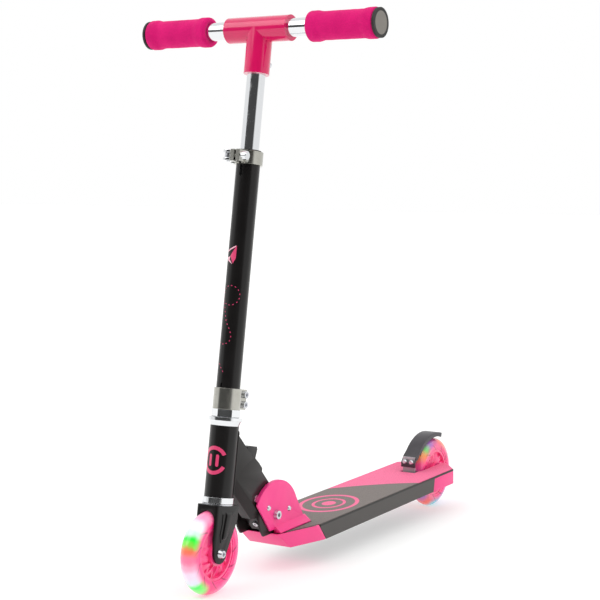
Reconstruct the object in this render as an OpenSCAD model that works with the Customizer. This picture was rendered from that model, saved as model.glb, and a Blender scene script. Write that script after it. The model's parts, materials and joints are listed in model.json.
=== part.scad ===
// Folding kick scooter for a child: two wheels, a deck that the column folds down to, and a
// handlebar that slides up and down. Millimetres. +X is forward, +Y the rider's left, +Z up,
// and the origin is on the floor midway between the axles.

/* [Overall] */
// Distance between the two axles
wheelbase = 552; // [500:1:680]
// Outer diameter of both wheels
wheel_d = 100; // [98:1:102]
// Width of the tyres
tyre_w = 22; // [18:0.1:26.4]
// Lean of the steering column towards the rider, in degrees
rake = 9.34; // [7:0.01:12]
// Distance of the front axle ahead of the steering axis
fork_offset = 7.1; // [5:0.1:9]
// Height of the handlebar's centre line above the front axle, along the column
bar_height = 623; // [595:1:660]
// Length of the handlebar over its end caps
bar_length = 331.8; // [300:0.2:420]

/* [Deck] */
// Width of the deck
deck_w = 94.2; // [84:0.2:116]
// Height of the deck's sides
deck_h = 21.75; // [19:0.25:26]
// Slope of the deck down to the front, in degrees
deck_pitch = 1.14; // [0.4:0.01:2]
// Thickness of the pressed sheet
sheet_t = 2.5; // [2:0.1:2.8]
// Thickness of the grip tape
tape_t = 0.8; // [0.5:0.1:1.2]

/* [Column] */
// Outer diameter of the lower column tube
column_d = 28.6; // [25.4:0.1:34.4]
// Height of the lower column tube's top above the axle, along the column
column_top = 475; // [440:1:500]
// Length of the head tube
head_len = 84; // [76:1:96]

/* [Handlebar] */
// Diameter of a grip in the middle
grip_d = 33; // [30:0.5:38]
// Length of one grip
grip_len = 91; // [80:1:110]
// Half the length of the sleeve that both handlebars plug into
sleeve_half = 44; // [38:1:50]

/* [Brake] */
// Gap between the fender's inner face and the tyre, at the top
fender_gap = 6.2; // [5.8:0.1:8]

/* [Hidden] */
$fn = 64;
run_fit = 0.05;             // radial clearance of a shaft that turns or slides
wheel_r = wheel_d / 2;
rear_x = -wheelbase / 2;

// Steering frame: origin on the steering axis, level with the front axle along it
steer_x = wheelbase / 2 - fork_offset * cos(rake);
steer_z = wheel_r - fork_offset * sin(rake);
hub_w = tyre_w + 2;
fork_in = hub_w / 2 + 0.8;
fork_out = fork_in + sheet_t;
fork_front = 21.4;
arch_half = tyre_w / 2 + 1;
crown_s = wheel_r + 6;
head_s = crown_s + 9;
head_top = head_s + head_len;
nut_s = head_top + 10.3;
clamp_s = nut_s + 8.9;
clamp_h = 25;
column_s = clamp_s + 1.5;

// Tubes of the column
column_r = column_d / 2;
column_bore = column_r - 1.65;
steerer_r = column_bore - 0.05;
steerer_bore = steerer_r - 1.2;
steerer_top = clamp_s + 47;
tube_r = column_r - 3.2;
tube_wall = 1.5;
head_r = column_r + 2.7;
head_bore = head_r - 2.2;
tube_bottom = column_top - 110;
sleeve_r = tube_r + 4.4;
rod_x = column_r + 8.7;     // the clamp rod's distance ahead of the column's axis
rod_s = column_top - 8;
lever_y = 0.9 - column_r;    // the clamp lever's pin
tube_top = bar_height - tube_r - 6;
socket_s = bar_height - 54.6;

// Deck frame: origin above the row's origin, X along the deck's top, Z square to it
deck_z = wheel_r + 6.75;
half_w = deck_w / 2;
plate_z = -tape_t - sheet_t;
tail_end = rear_x - 12;
tail_corner = rear_x + 16;
tail_half = 21.5;
drop_in = 17;
wheel_slot = 14.5;
side_rear = rear_x + 76;

// Folding joint
pivot_x = wheelbase / 2 - 110.1;
pivot_up = 22.1;
pivot_z = deck_z - pivot_x * tan(deck_pitch) + pivot_up;
aim_s = head_s + 53;
neck_angle = atan2(steer_z + aim_s * cos(rake) - pivot_z, steer_x - aim_s * sin(rake) - pivot_x);
neck_half = head_r - 2;
neck_back = 22.2;
neck_front = -26;
neck_side = -17.4;
cheek_in = neck_half + 0.4;
cheek_out = cheek_in + sheet_t;
cover_out = cheek_out + 0.05 + 2.2;
cheek_r = 33;
base_half = cheek_out - 0.4;
foot_half = cover_out + 9.5;
side_front = pivot_x - 59.6;
cover_r = 48.8;
cover_mid = [-1.5, -6.6];
pivot_r = 4;
lock_at = 35.8;             // distance of the lock bar from the pivot
lock_r = 2.5;
lock_angle = 70;
lever_x = 34.6;             // the release lever's pin, from the pivot
lever_z = 25.4;
lock_x = lock_at * cos(lock_angle);
lock_z = lock_at * sin(lock_angle);

// Brake, measured from the rear axle
brake_x = wheel_r + 14;
fender_cx = 4;
fender_cz = -8;
fender_in = wheel_r - fender_cz + fender_gap;
fender_t = 3.3;
fender_half = tyre_w / 2;
fender_end = 108;

// Handlebar
bar_end = bar_length / 2;
cap_t = 3;
grip_out = bar_end - cap_t;
grip_in = grip_out - grip_len;
button_y = sleeve_half - 10;
button_r = 3;

// ---------- frames and helpers ----------
module at_steer() translate([steer_x, 0, steer_z]) rotate([0, -rake, 0]) children();
module at_deck() translate([0, 0, deck_z]) rotate([0, deck_pitch, 0]) children();
module at_pivot() translate([pivot_x, 0, pivot_z]) children();
module at_neck() at_pivot() rotate([0, -neck_angle, 0]) children();
module at_rear_axle() translate([rear_x, 0, wheel_r]) children();
module at_front_axle() at_steer() translate([fork_offset, 0, 0]) children();
module both_sides() {
    children();
    mirror([0, 1, 0]) children();
}
// a rod along Y
module rod_y(r, y0, y1) translate([0, y0, 0]) rotate([-90, 0, 0]) cylinder(r = r, h = y1 - y0);
// a ring around Z
module ring(r_out, r_in, z0, z1) {
    translate([0, 0, z0]) difference() {
        cylinder(r = r_out, h = z1 - z0);
        translate([0, 0, -1]) cylinder(r = r_in, h = z1 - z0 + 2);
    }
}
// a ring around Y
module ring_y(r_out, r_in, y0, y1) rotate([-90, 0, 0]) ring(r_out, r_in, y0, y1);
// a flat outline in X and Z, thick along Y
module slab_y(y0, y1) translate([0, y1, 0]) rotate([90, 0, 0]) linear_extrude(y1 - y0) children();
module box(x0, x1, y0, y1, z0, z1) translate([x0, y0, z0]) cube([x1 - x0, y1 - y0, z1 - z0]);

// ---------- deck ----------
// top plate: full width up to the nose, and inside the nose's walls from there
module deck_outline(inset = 0) {
    w = half_w - inset;
    nose_w = w - sheet_t - 0.2;
    polygon([[tail_end, tail_half], [tail_corner, w], [side_front, w], [side_front, nose_w],
        [pivot_x - 51.9, nose_w], [pivot_x + 2, nose_w - 16.8], [pivot_x + 2, 16.8 - nose_w],
        [pivot_x - 51.9, -nose_w], [side_front, -nose_w], [side_front, -w],
        [tail_corner, -w], [tail_end, -tail_half]]);
}
module wheel_cutout() {
    translate([tail_end - 1, -wheel_slot]) square([rear_x - tail_end + 55, 2 * wheel_slot]);
}
module arm_cutout() {
    translate([rear_x + brake_x - 4, -10.6]) square([8, 21.2]);
}
module deck() color("#4c4846") at_deck() {
    difference() {
        translate([0, 0, plate_z]) linear_extrude(sheet_t) difference() {
            deck_outline();
            wheel_cutout();
            arm_cutout();
        }
        for (x = [pivot_x - 52, pivot_x - 34], y = [-8, 8])
            translate([x, y, plate_z - 1]) cylinder(r = 2.5, h = sheet_t + 2, $fn = 32);
    }
    both_sides() {
        slab_y(half_w - sheet_t, half_w) polygon([[side_rear + 2, -deck_h],
            [side_rear - 2, plate_z], [side_front, plate_z], [side_front - 14, -deck_h]]);
        box(side_rear + 12, pivot_x - 80, 20, 22, -deck_h, plate_z);
    }
}
module grip_tape() color("#7d7572") at_deck() translate([0, 0, -tape_t]) linear_extrude(tape_t)
    difference() {
        deck_outline(1.2);
        wheel_cutout();
        // room for the fender's foot, and for the folding bracket with its covers
        translate([rear_x + brake_x - 14, -12]) square([20, 24]);
        translate([pivot_x - 67.5, -foot_half]) square([90, 2 * foot_half]);
    }

// The nose is a pressed scoop that closes the front of the deck below its top plate. Its
// front face leans forward, and a leaning chamfer joins that to each side.
module chamfer_side(t) translate([pivot_x - 48, half_w, 0]) rotate([0, 0, -17.3])
    rotate([-15.3, 0, 0]) translate([0, -t, 0]) box(-300, 300, -200, 0, -100, 100);
module nose_body(t) intersection() {
    slab_y(t - half_w, half_w - t) polygon([[pivot_x - 80, t - deck_h], [pivot_x - 80, 2 * t],
        [pivot_x + 10 + 0.8 * t, 2 * t], [pivot_x - 16 - 0.37 * t, t - deck_h]]);
    chamfer_side(t);
    mirror([0, 1, 0]) chamfer_side(t);
}
module nose_bracket() color("#f0568f") at_deck() difference() {
    nose_body(0);
    nose_body(sheet_t);
    // the slanting back edge
    slab_y(-half_w - 1, half_w + 1) polygon([[pivot_x - 90, -deck_h - 1],
        [pivot_x - 73.9, -deck_h - 1], [pivot_x - 56.1, 1], [pivot_x - 90, 1]]);
}
// The tail holds the rear axle between two inner walls and closes the deck's rear corners
module tail_bracket() color("#f0568f") difference() {
    at_deck() both_sides() {
        slab_y(half_w - sheet_t, half_w) polygon([[tail_corner, -deck_h], [tail_corner, plate_z],
            [side_rear - 2.3, plate_z], [side_rear + 1.7, -deck_h]]);
        translate([0, 0, -deck_h]) linear_extrude(deck_h + plate_z) {
            polygon([[tail_corner, half_w], [tail_corner, half_w - sheet_t * 1.2],
                [tail_end + sheet_t, drop_in + sheet_t], [tail_end, drop_in], [tail_end, tail_half]]);
            translate([tail_end, drop_in]) square([side_rear - 2.4 - tail_end, sheet_t]);
            translate([side_rear - 2.4 - sheet_t, 0]) square([sheet_t, half_w - sheet_t]);
        }
    }
    at_rear_axle() rod_y(pivot_r, -60, 60);
    at_rear_axle() translate([brake_x, 0, 0]) rod_y(2.5, -24, 24);
}

// ---------- folding bracket ----------
module fold_bracket() color("#201d1c") difference() {
    union() {
        at_deck() translate([pivot_x - 63, -base_half, -tape_t]) cube([66.5, 2 * base_half, sheet_t]);
        both_sides() intersection() {
            at_pivot() slab_y(cheek_in, cheek_out) {
                circle(r = cheek_r);
                polygon([[-60, -30], [-28.4, 14.5], [22, 20], [8.5, -30]]);
            }
            at_deck() box(pivot_x - 70, pivot_x + 60, 0, 60, 0.5 - tape_t, 120);
        }
    }
    at_pivot() rod_y(pivot_r, -60, 60);
    for (y = [-8, 8], x = [pivot_x - 52, pivot_x - 34])
        at_deck() translate([x, y, -9]) cylinder(r = 2.5, h = 20, $fn = 32);
    for (p = [[15.7, 10.9], [-29.3, 2.1]])
        at_pivot() translate([p[0], 0, p[1]]) rod_y(1.8, -60, 60);
}
module bracket_bolts() color("#b9bcc0") at_deck()
    for (y = [-8, 8], x = [pivot_x - 52, pivot_x - 34]) translate([x, y, 0]) {
        translate([0, 0, sheet_t - tape_t]) cylinder(r = 4.2, h = 2);
        translate([0, 0, plate_z - 6]) cylinder(r = 2.5, h = 6 + 2 * sheet_t);
        translate([0, 0, plate_z - 4]) cylinder(r = 4.3, h = 4, $fn = 6);
    }
// outline of a cover in X and Z from the pivot: a round head on a slanting foot
module cover_outline() {
    intersection() {
        union() {
            translate(cover_mid) circle(r = cover_r);
            polygon([[-73.1, -30], [-42.9, 18.4], [0, 18.4], [0, -30]]);
        }
        polygon([[-90, -18], [13.1, -18], [71.2, 60], [-90, 60]]);
    }
}
module left_cover() color("#fb5fa0") difference() {
    union() {
        at_pivot() slab_y(cheek_out + 0.05, cover_out) cover_outline();
        // turned rim around the head
        at_pivot() slab_y(cheek_in, cheek_out + 1) intersection() {
            difference() {
                translate(cover_mid) circle(r = cover_r);
                translate(cover_mid) circle(r = cover_r - 1.4);
            }
            translate([-80, 22]) square([160, 60]);
        }
        // foot that leans out onto the deck
        at_deck() translate([pivot_x - 66.5, 0, 0]) rotate([90, 0, 90])
            linear_extrude(69) polygon([[cheek_out + 0.6, 0], [cover_out + 8.5, 0],
                [cover_out + 8.5, 1.2], [cover_out - 0.6, 8.5], [cheek_out + 0.6, 8.5]]);
    }
    at_pivot() rod_y(pivot_r + 0.2, 0, 60);
    for (p = [[15.7, 10.9], [-29.3, 2.1]]) at_pivot() translate([p[0], 0, p[1]]) rod_y(1.8, 0, 60);
}
module right_cover() mirror([0, 1, 0]) left_cover();
module cover_screws() color("#d8d3d6") both_sides() for (p = [[15.7, 10.9], [-29.3, 2.1]])
    at_pivot() translate([p[0], 0, p[1]]) {
        rod_y(1.8, cheek_in, cover_out + 0.1);
        translate([0, cover_out, 0]) rotate([-90, 0, 0]) cylinder(r1 = 3.6, r2 = 2.2, h = 1.6);
    }
module pivot_bolt() color("#c9ccd1") at_pivot() {
    rod_y(pivot_r, -cover_out - 6.5, cover_out + 0.5);
    rotate([-90, 0, 0]) translate([0, 0, cover_out]) difference() {
        cylinder(r1 = 6, r2 = 5.2, h = 4.6);
        translate([0, 0, 2]) cylinder(r = 2.9, h = 4, $fn = 6);
    }
    rotate([90, 0, 0]) translate([0, 0, cover_out]) {
        cylinder(r = 7, h = 0.8);
        translate([0, 0, 0.8]) cylinder(r = 6.6, h = 5, $fn = 6);
    }
}

// ---------- wheels, each around Y at its own axle ----------
module tyre() color([0.96, 0.75, 0.85, 0.6]) rotate([90, 0, 0]) rotate_extrude($fn = 128) {
    intersection() {
        translate([wheel_r - tyre_w / 2, 0]) circle(r = tyre_w / 2);
        translate([wheel_r - 14, -20]) square([40, 40]);
    }
    translate([wheel_r - 17, -tyre_w / 2 + 0.7]) square([6.5, tyre_w - 1.4]);
}
module hub() color("#ef2e78") difference() {
    union() {
        ring_y(14.5, 1, -hub_w / 2, hub_w / 2);
        ring_y(wheel_r - 17, wheel_r - 20.5, -tyre_w / 2 + 1.5, tyre_w / 2 - 1.5);
        ring_y(wheel_r - 19, 13, -1.2, 1.2);
        for (a = [0 : 72 : 359], b = [-13, 13]) rotate([0, a + b, 0])
            box(13.5, wheel_r - 19, -7, 7, -1.4, 1.4);
    }
    rod_y(9, -20, 20);
    rod_y(11, hub_w / 2 - 7, 20);
    rod_y(11, -20, -hub_w / 2 + 7);
    // channel for the light ring, and a pocket for each lamp
    ring_y(17, 14.6, -3, 3);
    for (a = [36 : 72 : 359]) rotate([0, a, 0]) translate([16, 0, 0]) rotate([0, 90, 0])
        cylinder(r = 2.6, h = wheel_r - 40, $fn = 32);
}
module bearings() color("#9a9da2") both_sides()
    ring_y(11, pivot_r + 0.03, hub_w / 2 - 7, hub_w / 2);
module lights() color("#f4f0d8") {
    ring_y(16.8, 14.7, -2.5, 2.5);
    for (a = [36 : 72 : 359]) rotate([0, a, 0]) translate([16.5, 0, 0]) rotate([0, 90, 0]) {
        cylinder(r = 2.5, h = 5, $fn = 32);
        translate([0, 0, 5]) sphere(r = 2.5, $fn = 32);
    }
}
module magnet() color("#74787c") ring_y(7.5, pivot_r, -hub_w / 2 + 7.2, hub_w / 2 - 7.2);
// bolt, nut, washers and spacers of an axle; gap is half the space between the walls
module axle(gap, head, head_h) color("#c9ccd1") {
    rod_y(pivot_r, -gap - sheet_t - head_h, gap + sheet_t + 0.2);
    translate([0, gap + sheet_t, 0]) rotate([-90, 0, 0]) difference() {
        cylinder(r1 = head, r2 = head - 1.6, h = head_h);
        translate([0, 0, 1.6]) cylinder(r = 2.6, h = 9, $fn = 6);
    }
    translate([0, -gap - sheet_t, 0]) rotate([90, 0, 0]) cylinder(r = head, h = head_h, $fn = 6);
    both_sides() ring_y(6.2, pivot_r - 0.01, hub_w / 2 + 0.15, gap);
}
module rear_axle() at_rear_axle() axle(drop_in, 5.8, 3.2);
module front_axle() at_front_axle() axle(fork_in, 5.9, 4.6);
module rear_magnet() at_rear_axle() magnet();
module front_magnet() at_front_axle() magnet();
module rear_tyre() at_rear_axle() tyre();
module front_tyre() at_front_axle() tyre();
module rear_hub() at_rear_axle() hub();
module front_hub() at_front_axle() hub();
module rear_bearings() at_rear_axle() bearings();
module front_bearings() at_front_axle() bearings();
module rear_lights() at_rear_axle() lights();
module front_lights() at_front_axle() lights();

// ---------- brake ----------
module brake_pin() color("#9a9da2") at_rear_axle() translate([brake_x, 0, 0]) {
    rod_y(2.5, -drop_in - sheet_t - 1, drop_in + sheet_t + 1);
    both_sides() rod_y(4, drop_in + sheet_t, drop_in + sheet_t + 1.5);
}
module brake_spring() color("#8d9196") at_rear_axle() translate([brake_x, 0, 0]) {
    for (i = [0 : 3]) translate([0, 11.2 + i * 1.1, 0]) rotate([90, 0, 0])
        rotate_extrude() translate([3.9, 0]) circle(r = 0.6, $fn = 24);
    translate([3.9, 14.5, 0]) rotate([0, 20, 0]) cylinder(r = 0.6, h = 7, $fn = 24);
}
module brake_arm() color("#a7abab") at_rear_axle() translate([brake_x, 0, 0]) difference() {
    union() {
        rod_y(5, -10, 10);
        box(-1.5, 1, -9.5, 9.5, 3, 32);
    }
    rod_y(2.5 + run_fit, -20, 20);
    for (y = [-5.3, 5.3]) translate([-9, y, 25.3]) rotate([0, 90, 0]) cylinder(r = 1.9, h = 20);
}
// the fender's upright foot and its shoulder, in X and Z from the axle
module fender_foot() {
    polygon([[brake_x + 1, 17.7], [brake_x + 4, 17.7], [brake_x + 4, 24.5],
        [brake_x - 3.5, 33.5], [brake_x - 12.3, 39.7], [brake_x - 14.6, 37.4],
        [brake_x - 6, 31], [brake_x + 1, 23.5]]);
}
// part of a ring between two angles, in X and Z
module sector(r_out, r_in, a0, a1) {
    difference() {
        circle(r = r_out, $fn = 160);
        circle(r = r_in, $fn = 160);
        rotate(a1) translate([-200, 0]) square([400, 200]);
        rotate(a0) translate([-200, -200]) square([400, 200]);
    }
}
module fender() color("#2b2a2d") difference() {
    at_rear_axle() {
        translate([fender_cx, 0, fender_cz]) {
            slab_y(-fender_half, fender_half) sector(fender_in + fender_t, fender_in, 33, fender_end);
            both_sides() slab_y(fender_half - 2.2, fender_half)
                sector(fender_in + 1, fender_in - 3, 42, fender_end);
        }
        slab_y(-fender_half, fender_half) fender_foot();
    }
    // slot that the arm fills
    at_rear_axle() translate([brake_x, 0, 0]) box(-1.5, 1, -9.5, 9.5, 0, 32);
    at_rear_axle() for (y = [-5.3, 5.3])
        translate([brake_x - 9, y, 25.3]) rotate([0, 90, 0]) cylinder(r = 1.9, h = 20);
}
module fender_screws() color("#c9ccd1") at_rear_axle() for (y = [-5.3, 5.3])
    translate([brake_x - 1.5, y, 25.3]) rotate([0, 90, 0]) {
        cylinder(r = 1.9, h = 6);
        translate([0, 0, 5.5]) cylinder(r1 = 3.6, r2 = 2.4, h = 2);
    }

// ---------- neck ----------
// side of the neck in X and Z of the neck frame, from the pivot to inside the head tube
module neck_outline() {
    circle(r = 18.5);
    polygon([[0, neck_side], [14, neck_side], [22, neck_front], [150, neck_front],
        [150, neck_back], [84, neck_back], [80.8, neck_back + 2.4], [69.6, neck_back + 3.5],
        [59.9, neck_back + 3.3], [57, neck_back], [30, neck_back], [9, 16.2], [0, 17]]);
}
module head_space(r) at_steer() translate([0, 0, head_s - 40]) cylinder(r = r, h = head_len + 120);
module lock_slot() at_pivot() rotate([0, -lock_angle, 0]) slab_y(-40, 40) {
    translate([lock_at, 0]) circle(r = lock_r + 0.5);
    translate([lock_at + 4, 0]) circle(r = lock_r + 0.5);
    translate([lock_at, -lock_r - 0.5]) square([4, 2 * lock_r + 1]);
}
// channel section of the neck, open at the back: t is the distance in from its outside
module neck_section(t) translate([-60, 0, 0]) rotate([90, 0, 90]) linear_extrude(260)
    polygon([[neck_half - t, 60], [neck_half - t, neck_side + 0.4 * t],
        [6.4 - 0.4 * t, neck_front + t], [0.4 * t - 6.4, neck_front + t],
        [t - neck_half, neck_side + 0.4 * t], [t - neck_half, 60]]);
module neck() color("#262427") difference() {
    at_neck() difference() {
        intersection() {
            slab_y(-neck_half, neck_half) neck_outline();
            neck_section(0);
        }
        neck_section(sheet_t);
    }
    head_space(head_r);
    at_steer() box(0, 120, -40, 40, -60, 400);
    // level cut above the pivot block
    at_pivot() box(13, 60, -30, 30, -40, -0.6);
    at_pivot() rod_y(9, -30, 30);
    at_pivot() translate([lever_x, 0, lever_z]) rod_y(3, -30, 30);
    lock_slot();
}
// forged block in the foot of the neck, with the pivot's bore
module pivot_block() color("#1d1c1e") at_pivot() difference() {
    union() {
        rod_y(9, -neck_half, neck_half);
        intersection() {
            slab_y(-neck_half + sheet_t, neck_half - sheet_t) difference() {
                union() {
                    circle(r = 18.5);
                    polygon([[0, -18.5], [11.5, -18.5], [26.5, -1], [14, 12], [0, 16]]);
                }
                translate([-30, 14]) square([60, 20]);
            }
            rotate([0, -neck_angle, 0]) neck_section(sheet_t);
        }
    }
    rod_y(pivot_r + run_fit, -40, 40);
    stop_screw_place() translate([0, 0, -12]) cylinder(r = 2.5, h = 40, $fn = 32);
}
module stop_screw_place() translate([19.5, 3.5, -9.2]) rotate([0, 130.6, 0]) children();
module stop_screw() color("#c9ccd1") at_pivot() stop_screw_place() {
    translate([0, 0, -10]) cylinder(r = 2.5, h = 11, $fn = 32);
    difference() {
        cylinder(r1 = 4.2, r2 = 3.4, h = 2.2);
        translate([0, 0, 0.8]) cylinder(r = 1.8, h = 3, $fn = 6);
    }
}
module head_tube() color("#1b191c") at_steer() ring(head_r, head_bore, head_s, head_top);
module headset_cups() color("#d5d8dc") at_steer() {
    // lower cup
    ring(head_r + 2, head_bore - 1.4, head_s - 3.4, head_s);
    ring(head_r + 2, head_r + 0.2, head_s - 7, head_s - 3.4);
    ring(head_bore, head_bore - 1.4, head_s, head_s + 8);
    // upper cup with its flared rim
    difference() {
        union() {
            translate([0, 0, head_top]) cylinder(r1 = head_r, r2 = head_r + 2.2, h = 6);
            translate([0, 0, head_top + 6]) cylinder(r = head_r + 3.5, h = 4);
            translate([0, 0, head_top - 8]) cylinder(r = head_bore, h = 9);
        }
        translate([0, 0, head_top - 9]) cylinder(r = head_bore - 1.4, h = 30);
        translate([0, 0, head_top + 4]) cylinder(r = head_r - 0.2, h = 30);
    }
}
module headset_bearings() color("#9a9da2") at_steer() {
    ring(head_r, steerer_r + 0.4, head_s - 7.3, head_s - 3.4);
    ring(head_r - 0.4, steerer_r + 0.4, head_top + 4, head_top + 8);
}

// ---------- release lever ----------
module at_lever() at_pivot() translate([lever_x, 0, lever_z]) children();
module lever_pin() color("#b9bcc0") at_lever() {
    rod_y(3, -neck_half, neck_half);
    both_sides() rod_y(4.6, neck_half, neck_half + 0.3);
}
module lever_spring() color("#8d9196") at_lever() {
    for (i = [0 : 3]) translate([0, 6 + i * 1.1, 0]) rotate([90, 0, 0])
        rotate_extrude() translate([4.2, 0]) circle(r = 0.6, $fn = 24);
    translate([4.2, 9.3, 0]) rotate([0, 60, 0]) cylinder(r = 0.6, h = 8, $fn = 24);
}
module release_lever() color("#232225") at_pivot() difference() {
    union() {
        slab_y(-5, 5) {
            translate([lever_x, lever_z]) circle(r = 6.5);
            translate([lock_x, lock_z]) circle(r = 4.2);
            polygon([[lock_x - 1, lock_z - 4.1], [lever_x - 3, lever_z - 5.8],
                [lever_x + 2, lever_z + 6.2], [lock_x + 1, lock_z + 4.1]]);
            polygon([[lever_x - 6.5, lever_z], [lever_x + 6.5, lever_z], [45, 66], [41, 81],
                [32, 70]]);
        }
        // thumb tab, wider than the arm
        slab_y(-7, 7) polygon([[42.5, 89.5], [36, 89.3], [21.8, 86.4], [21, 82.5],
            [25.5, 72.5], [31, 68], [38, 76]]);
        translate([lock_x, 0, lock_z]) rod_y(lock_r, 0.4 - cheek_out, cheek_out - 0.4);
    }
    translate([lever_x, 0, lever_z]) rod_y(3 + run_fit, -20, 20);
}

// ---------- fork and headset ----------
module fork_side() {
    polygon([[fork_front, crown_s], [fork_front, wheel_r * 0.34],
        [fork_offset + 12, 0], [fork_offset, -6], [fork_offset - 12, 0],
        [-13.8, wheel_r * 0.43], [-21.5, wheel_r * 0.78], [-22, crown_s]]);
    translate([fork_offset, 0]) circle(r = 12);
}
module fork() color("#232124") at_steer() {
    difference() {
        intersection() {
            slab_y(-fork_out, fork_out) fork_side();
            translate([0, 0, -40]) linear_extrude(crown_s + 60) {
                translate([-40, -fork_out]) square([fork_front + 36, 2 * fork_out]);
                translate([-40, -fork_out + 4]) square([fork_front + 40, 2 * fork_out - 8]);
                for (y = [-1, 1]) translate([fork_front - 4, y * (fork_out - 4)]) circle(r = 4);
            }
        }
        box(-60, fork_front - sheet_t, -fork_in, fork_in, -60, crown_s - sheet_t);
        // arch in the front web for the wheel
        translate([fork_front - 10, 0, 0]) rotate([90, 0, 90]) linear_extrude(30) {
            translate([-arch_half, -60]) square([2 * arch_half, crown_s - 6.5 - arch_half + 60]);
            translate([0, crown_s - 6.5 - arch_half]) circle(r = arch_half);
        }
        translate([fork_offset, 0, 0]) rod_y(pivot_r, -60, 60);
        translate([0, 0, -1]) cylinder(r = steerer_bore, h = 200);
    }
    // pressed rib on each leg
    both_sides() slab_y(fork_out, fork_out + 0.8) polygon([[fork_front - 12, crown_s - 10],
        [fork_front - 12, crown_s - 22], [fork_front - 9.5, 22], [fork_front - 12, 13],
        [fork_offset - 3.5, 15], [-10.5, crown_s - 27], [-10.5, crown_s - 10]]);
    ring(steerer_r, steerer_bore, crown_s - sheet_t, steerer_top);
}
module headset_races() color("#c3c6ca") at_steer() {
    ring(head_r + 1.6, steerer_r, crown_s, crown_s + 1.4);
    difference() {
        translate([0, 0, head_top + 8.3]) cylinder(r1 = head_r - 2, r2 = head_r - 3.4, h = 2);
        translate([0, 0, head_top]) cylinder(r = steerer_r, h = 20);
    }
}
module column_nut() color("#c9ccd1") at_steer() difference() {
    translate([0, 0, nut_s]) cylinder(r = head_r, h = clamp_s - nut_s, $fn = 6);
    translate([0, 0, nut_s - 1]) cylinder(r = steerer_r, h = 20);
}

// ---------- column ----------
module stem_clamp() color("#c4c7cb") at_steer() difference() {
    union() {
        translate([0, 0, clamp_s]) cylinder(r = column_r + 2.2, h = clamp_h);
        box(-column_r - 14.5, -column_r + 3, -7.6, 7.6, clamp_s + 0.5, clamp_s + clamp_h - 0.5);
    }
    translate([0, 0, clamp_s - 1]) cylinder(r = steerer_r, h = 2.5);
    translate([0, 0, column_s]) cylinder(r = column_r, h = 40);
    box(-column_r - 20, 0, -1.2, 1.2, clamp_s - 1, clamp_s + clamp_h + 1);
    for (z = [clamp_s + 6.5, clamp_s + 18.5]) translate([-column_r - 8.7, 0, z]) rod_y(2.5, -30, 30);
}
module stem_clamp_bolts() color("#8f9499") at_steer()
    for (z = [clamp_s + 6.5, clamp_s + 18.5]) translate([-column_r - 8.7, 0, z]) {
        rod_y(2.5, -7.6, 7.7);
        rod_y(4.2, -11, -7.6);
        translate([0, 7.6, 0]) rotate([-90, 0, 0]) difference() {
            cylinder(r = 4.2, h = 4.4);
            translate([0, 0, 1.8]) cylinder(r = 2.3, h = 9, $fn = 6);
        }
    }
module column_tube() color("#1a181b") at_steer() difference() {
    ring(column_r, column_bore, column_s, column_top);
    box(0, 30, -1.6, 1.6, column_top - 29, column_top + 5);
    translate([0, 0, column_top - 29]) rotate([0, 90, 0]) cylinder(r = 1.6, h = 30, $fn = 32);
    box(0, 30, -1.5, 1.5, column_s - 5, column_s + 28);
    translate([0, 0, column_s + 28]) rotate([0, 90, 0]) cylinder(r = 1.5, h = 30, $fn = 32);
}
module top_bush() color("#2c2b2e") at_steer() difference() {
    union() {
        translate([0, 0, column_top - 36]) cylinder(r = column_bore, h = 36);
        translate([0, 0, column_top]) cylinder(r = column_r, h = 1.6);
    }
    translate([0, 0, column_top - 40]) cylinder(r = tube_r + run_fit, h = 60);
    box(0, 30, -1, 1, column_top - 40, column_top + 5);
}
module height_clamp() color("#d5d8dc") at_steer() difference() {
    union() {
        translate([0, 0, column_top - 16]) cylinder(r = column_r + 2.7, h = 16);
        box(column_r - 3, column_r + 15, -6.5, 6.5, column_top - 15, column_top - 1);
    }
    translate([0, 0, column_top - 20]) cylinder(r = column_r, h = 40);
    box(0, 60, -1.4, 1.4, column_top - 20, column_top + 5);
    translate([rod_x, 0, rod_s]) rod_y(2.6, -30, 30);
}
module clamp_rod() color("#aeb2b7") at_steer() translate([rod_x, 0, rod_s]) {
    difference() {
        union() {
            rod_y(2.5, lever_y, 12);
            translate([0, lever_y, -2.6]) cylinder(r = 4.4, h = 5.2);
        }
        translate([0, lever_y, -20]) cylinder(r = 2, h = 40);
    }
    translate([0, lever_y, -7]) cylinder(r = 2, h = 14);
}
module clamp_nut() color("#d5d8dc") at_steer() translate([rod_x, 0, rod_s]) difference() {
    union() {
        rod_y(5.2, 6.5, 13.5);
        rod_y(4.2, 13.5, 14.3);
    }
    rod_y(2.5, 0, 12);
}
// cam head around the pin, forked for the rod's eye, with the lever's arm behind it
module clamp_lever() color("#d5d8dc") at_steer() translate([rod_x, lever_y, rod_s]) difference() {
    union() {
        translate([0, 0, -6.5]) cylinder(r = 6.4, h = 13);
        translate([0, 0, -6.5]) linear_extrude(13) polygon([[2, -5], [-9, -9.8], [-34, -10.3],
            [-43, -8], [-43.5, -5.6], [-36, -5.4], [-12, -5.1], [-3, 4]]);
    }
    // slot for the rod and its eye
    translate([0, 0, -3]) cylinder(r = 7.2, h = 6);
    box(0, 9, -7.2, 12.8, -3, 3);
    translate([0, 0, -20]) cylinder(r = 2 + run_fit, h = 40);
}

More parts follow.
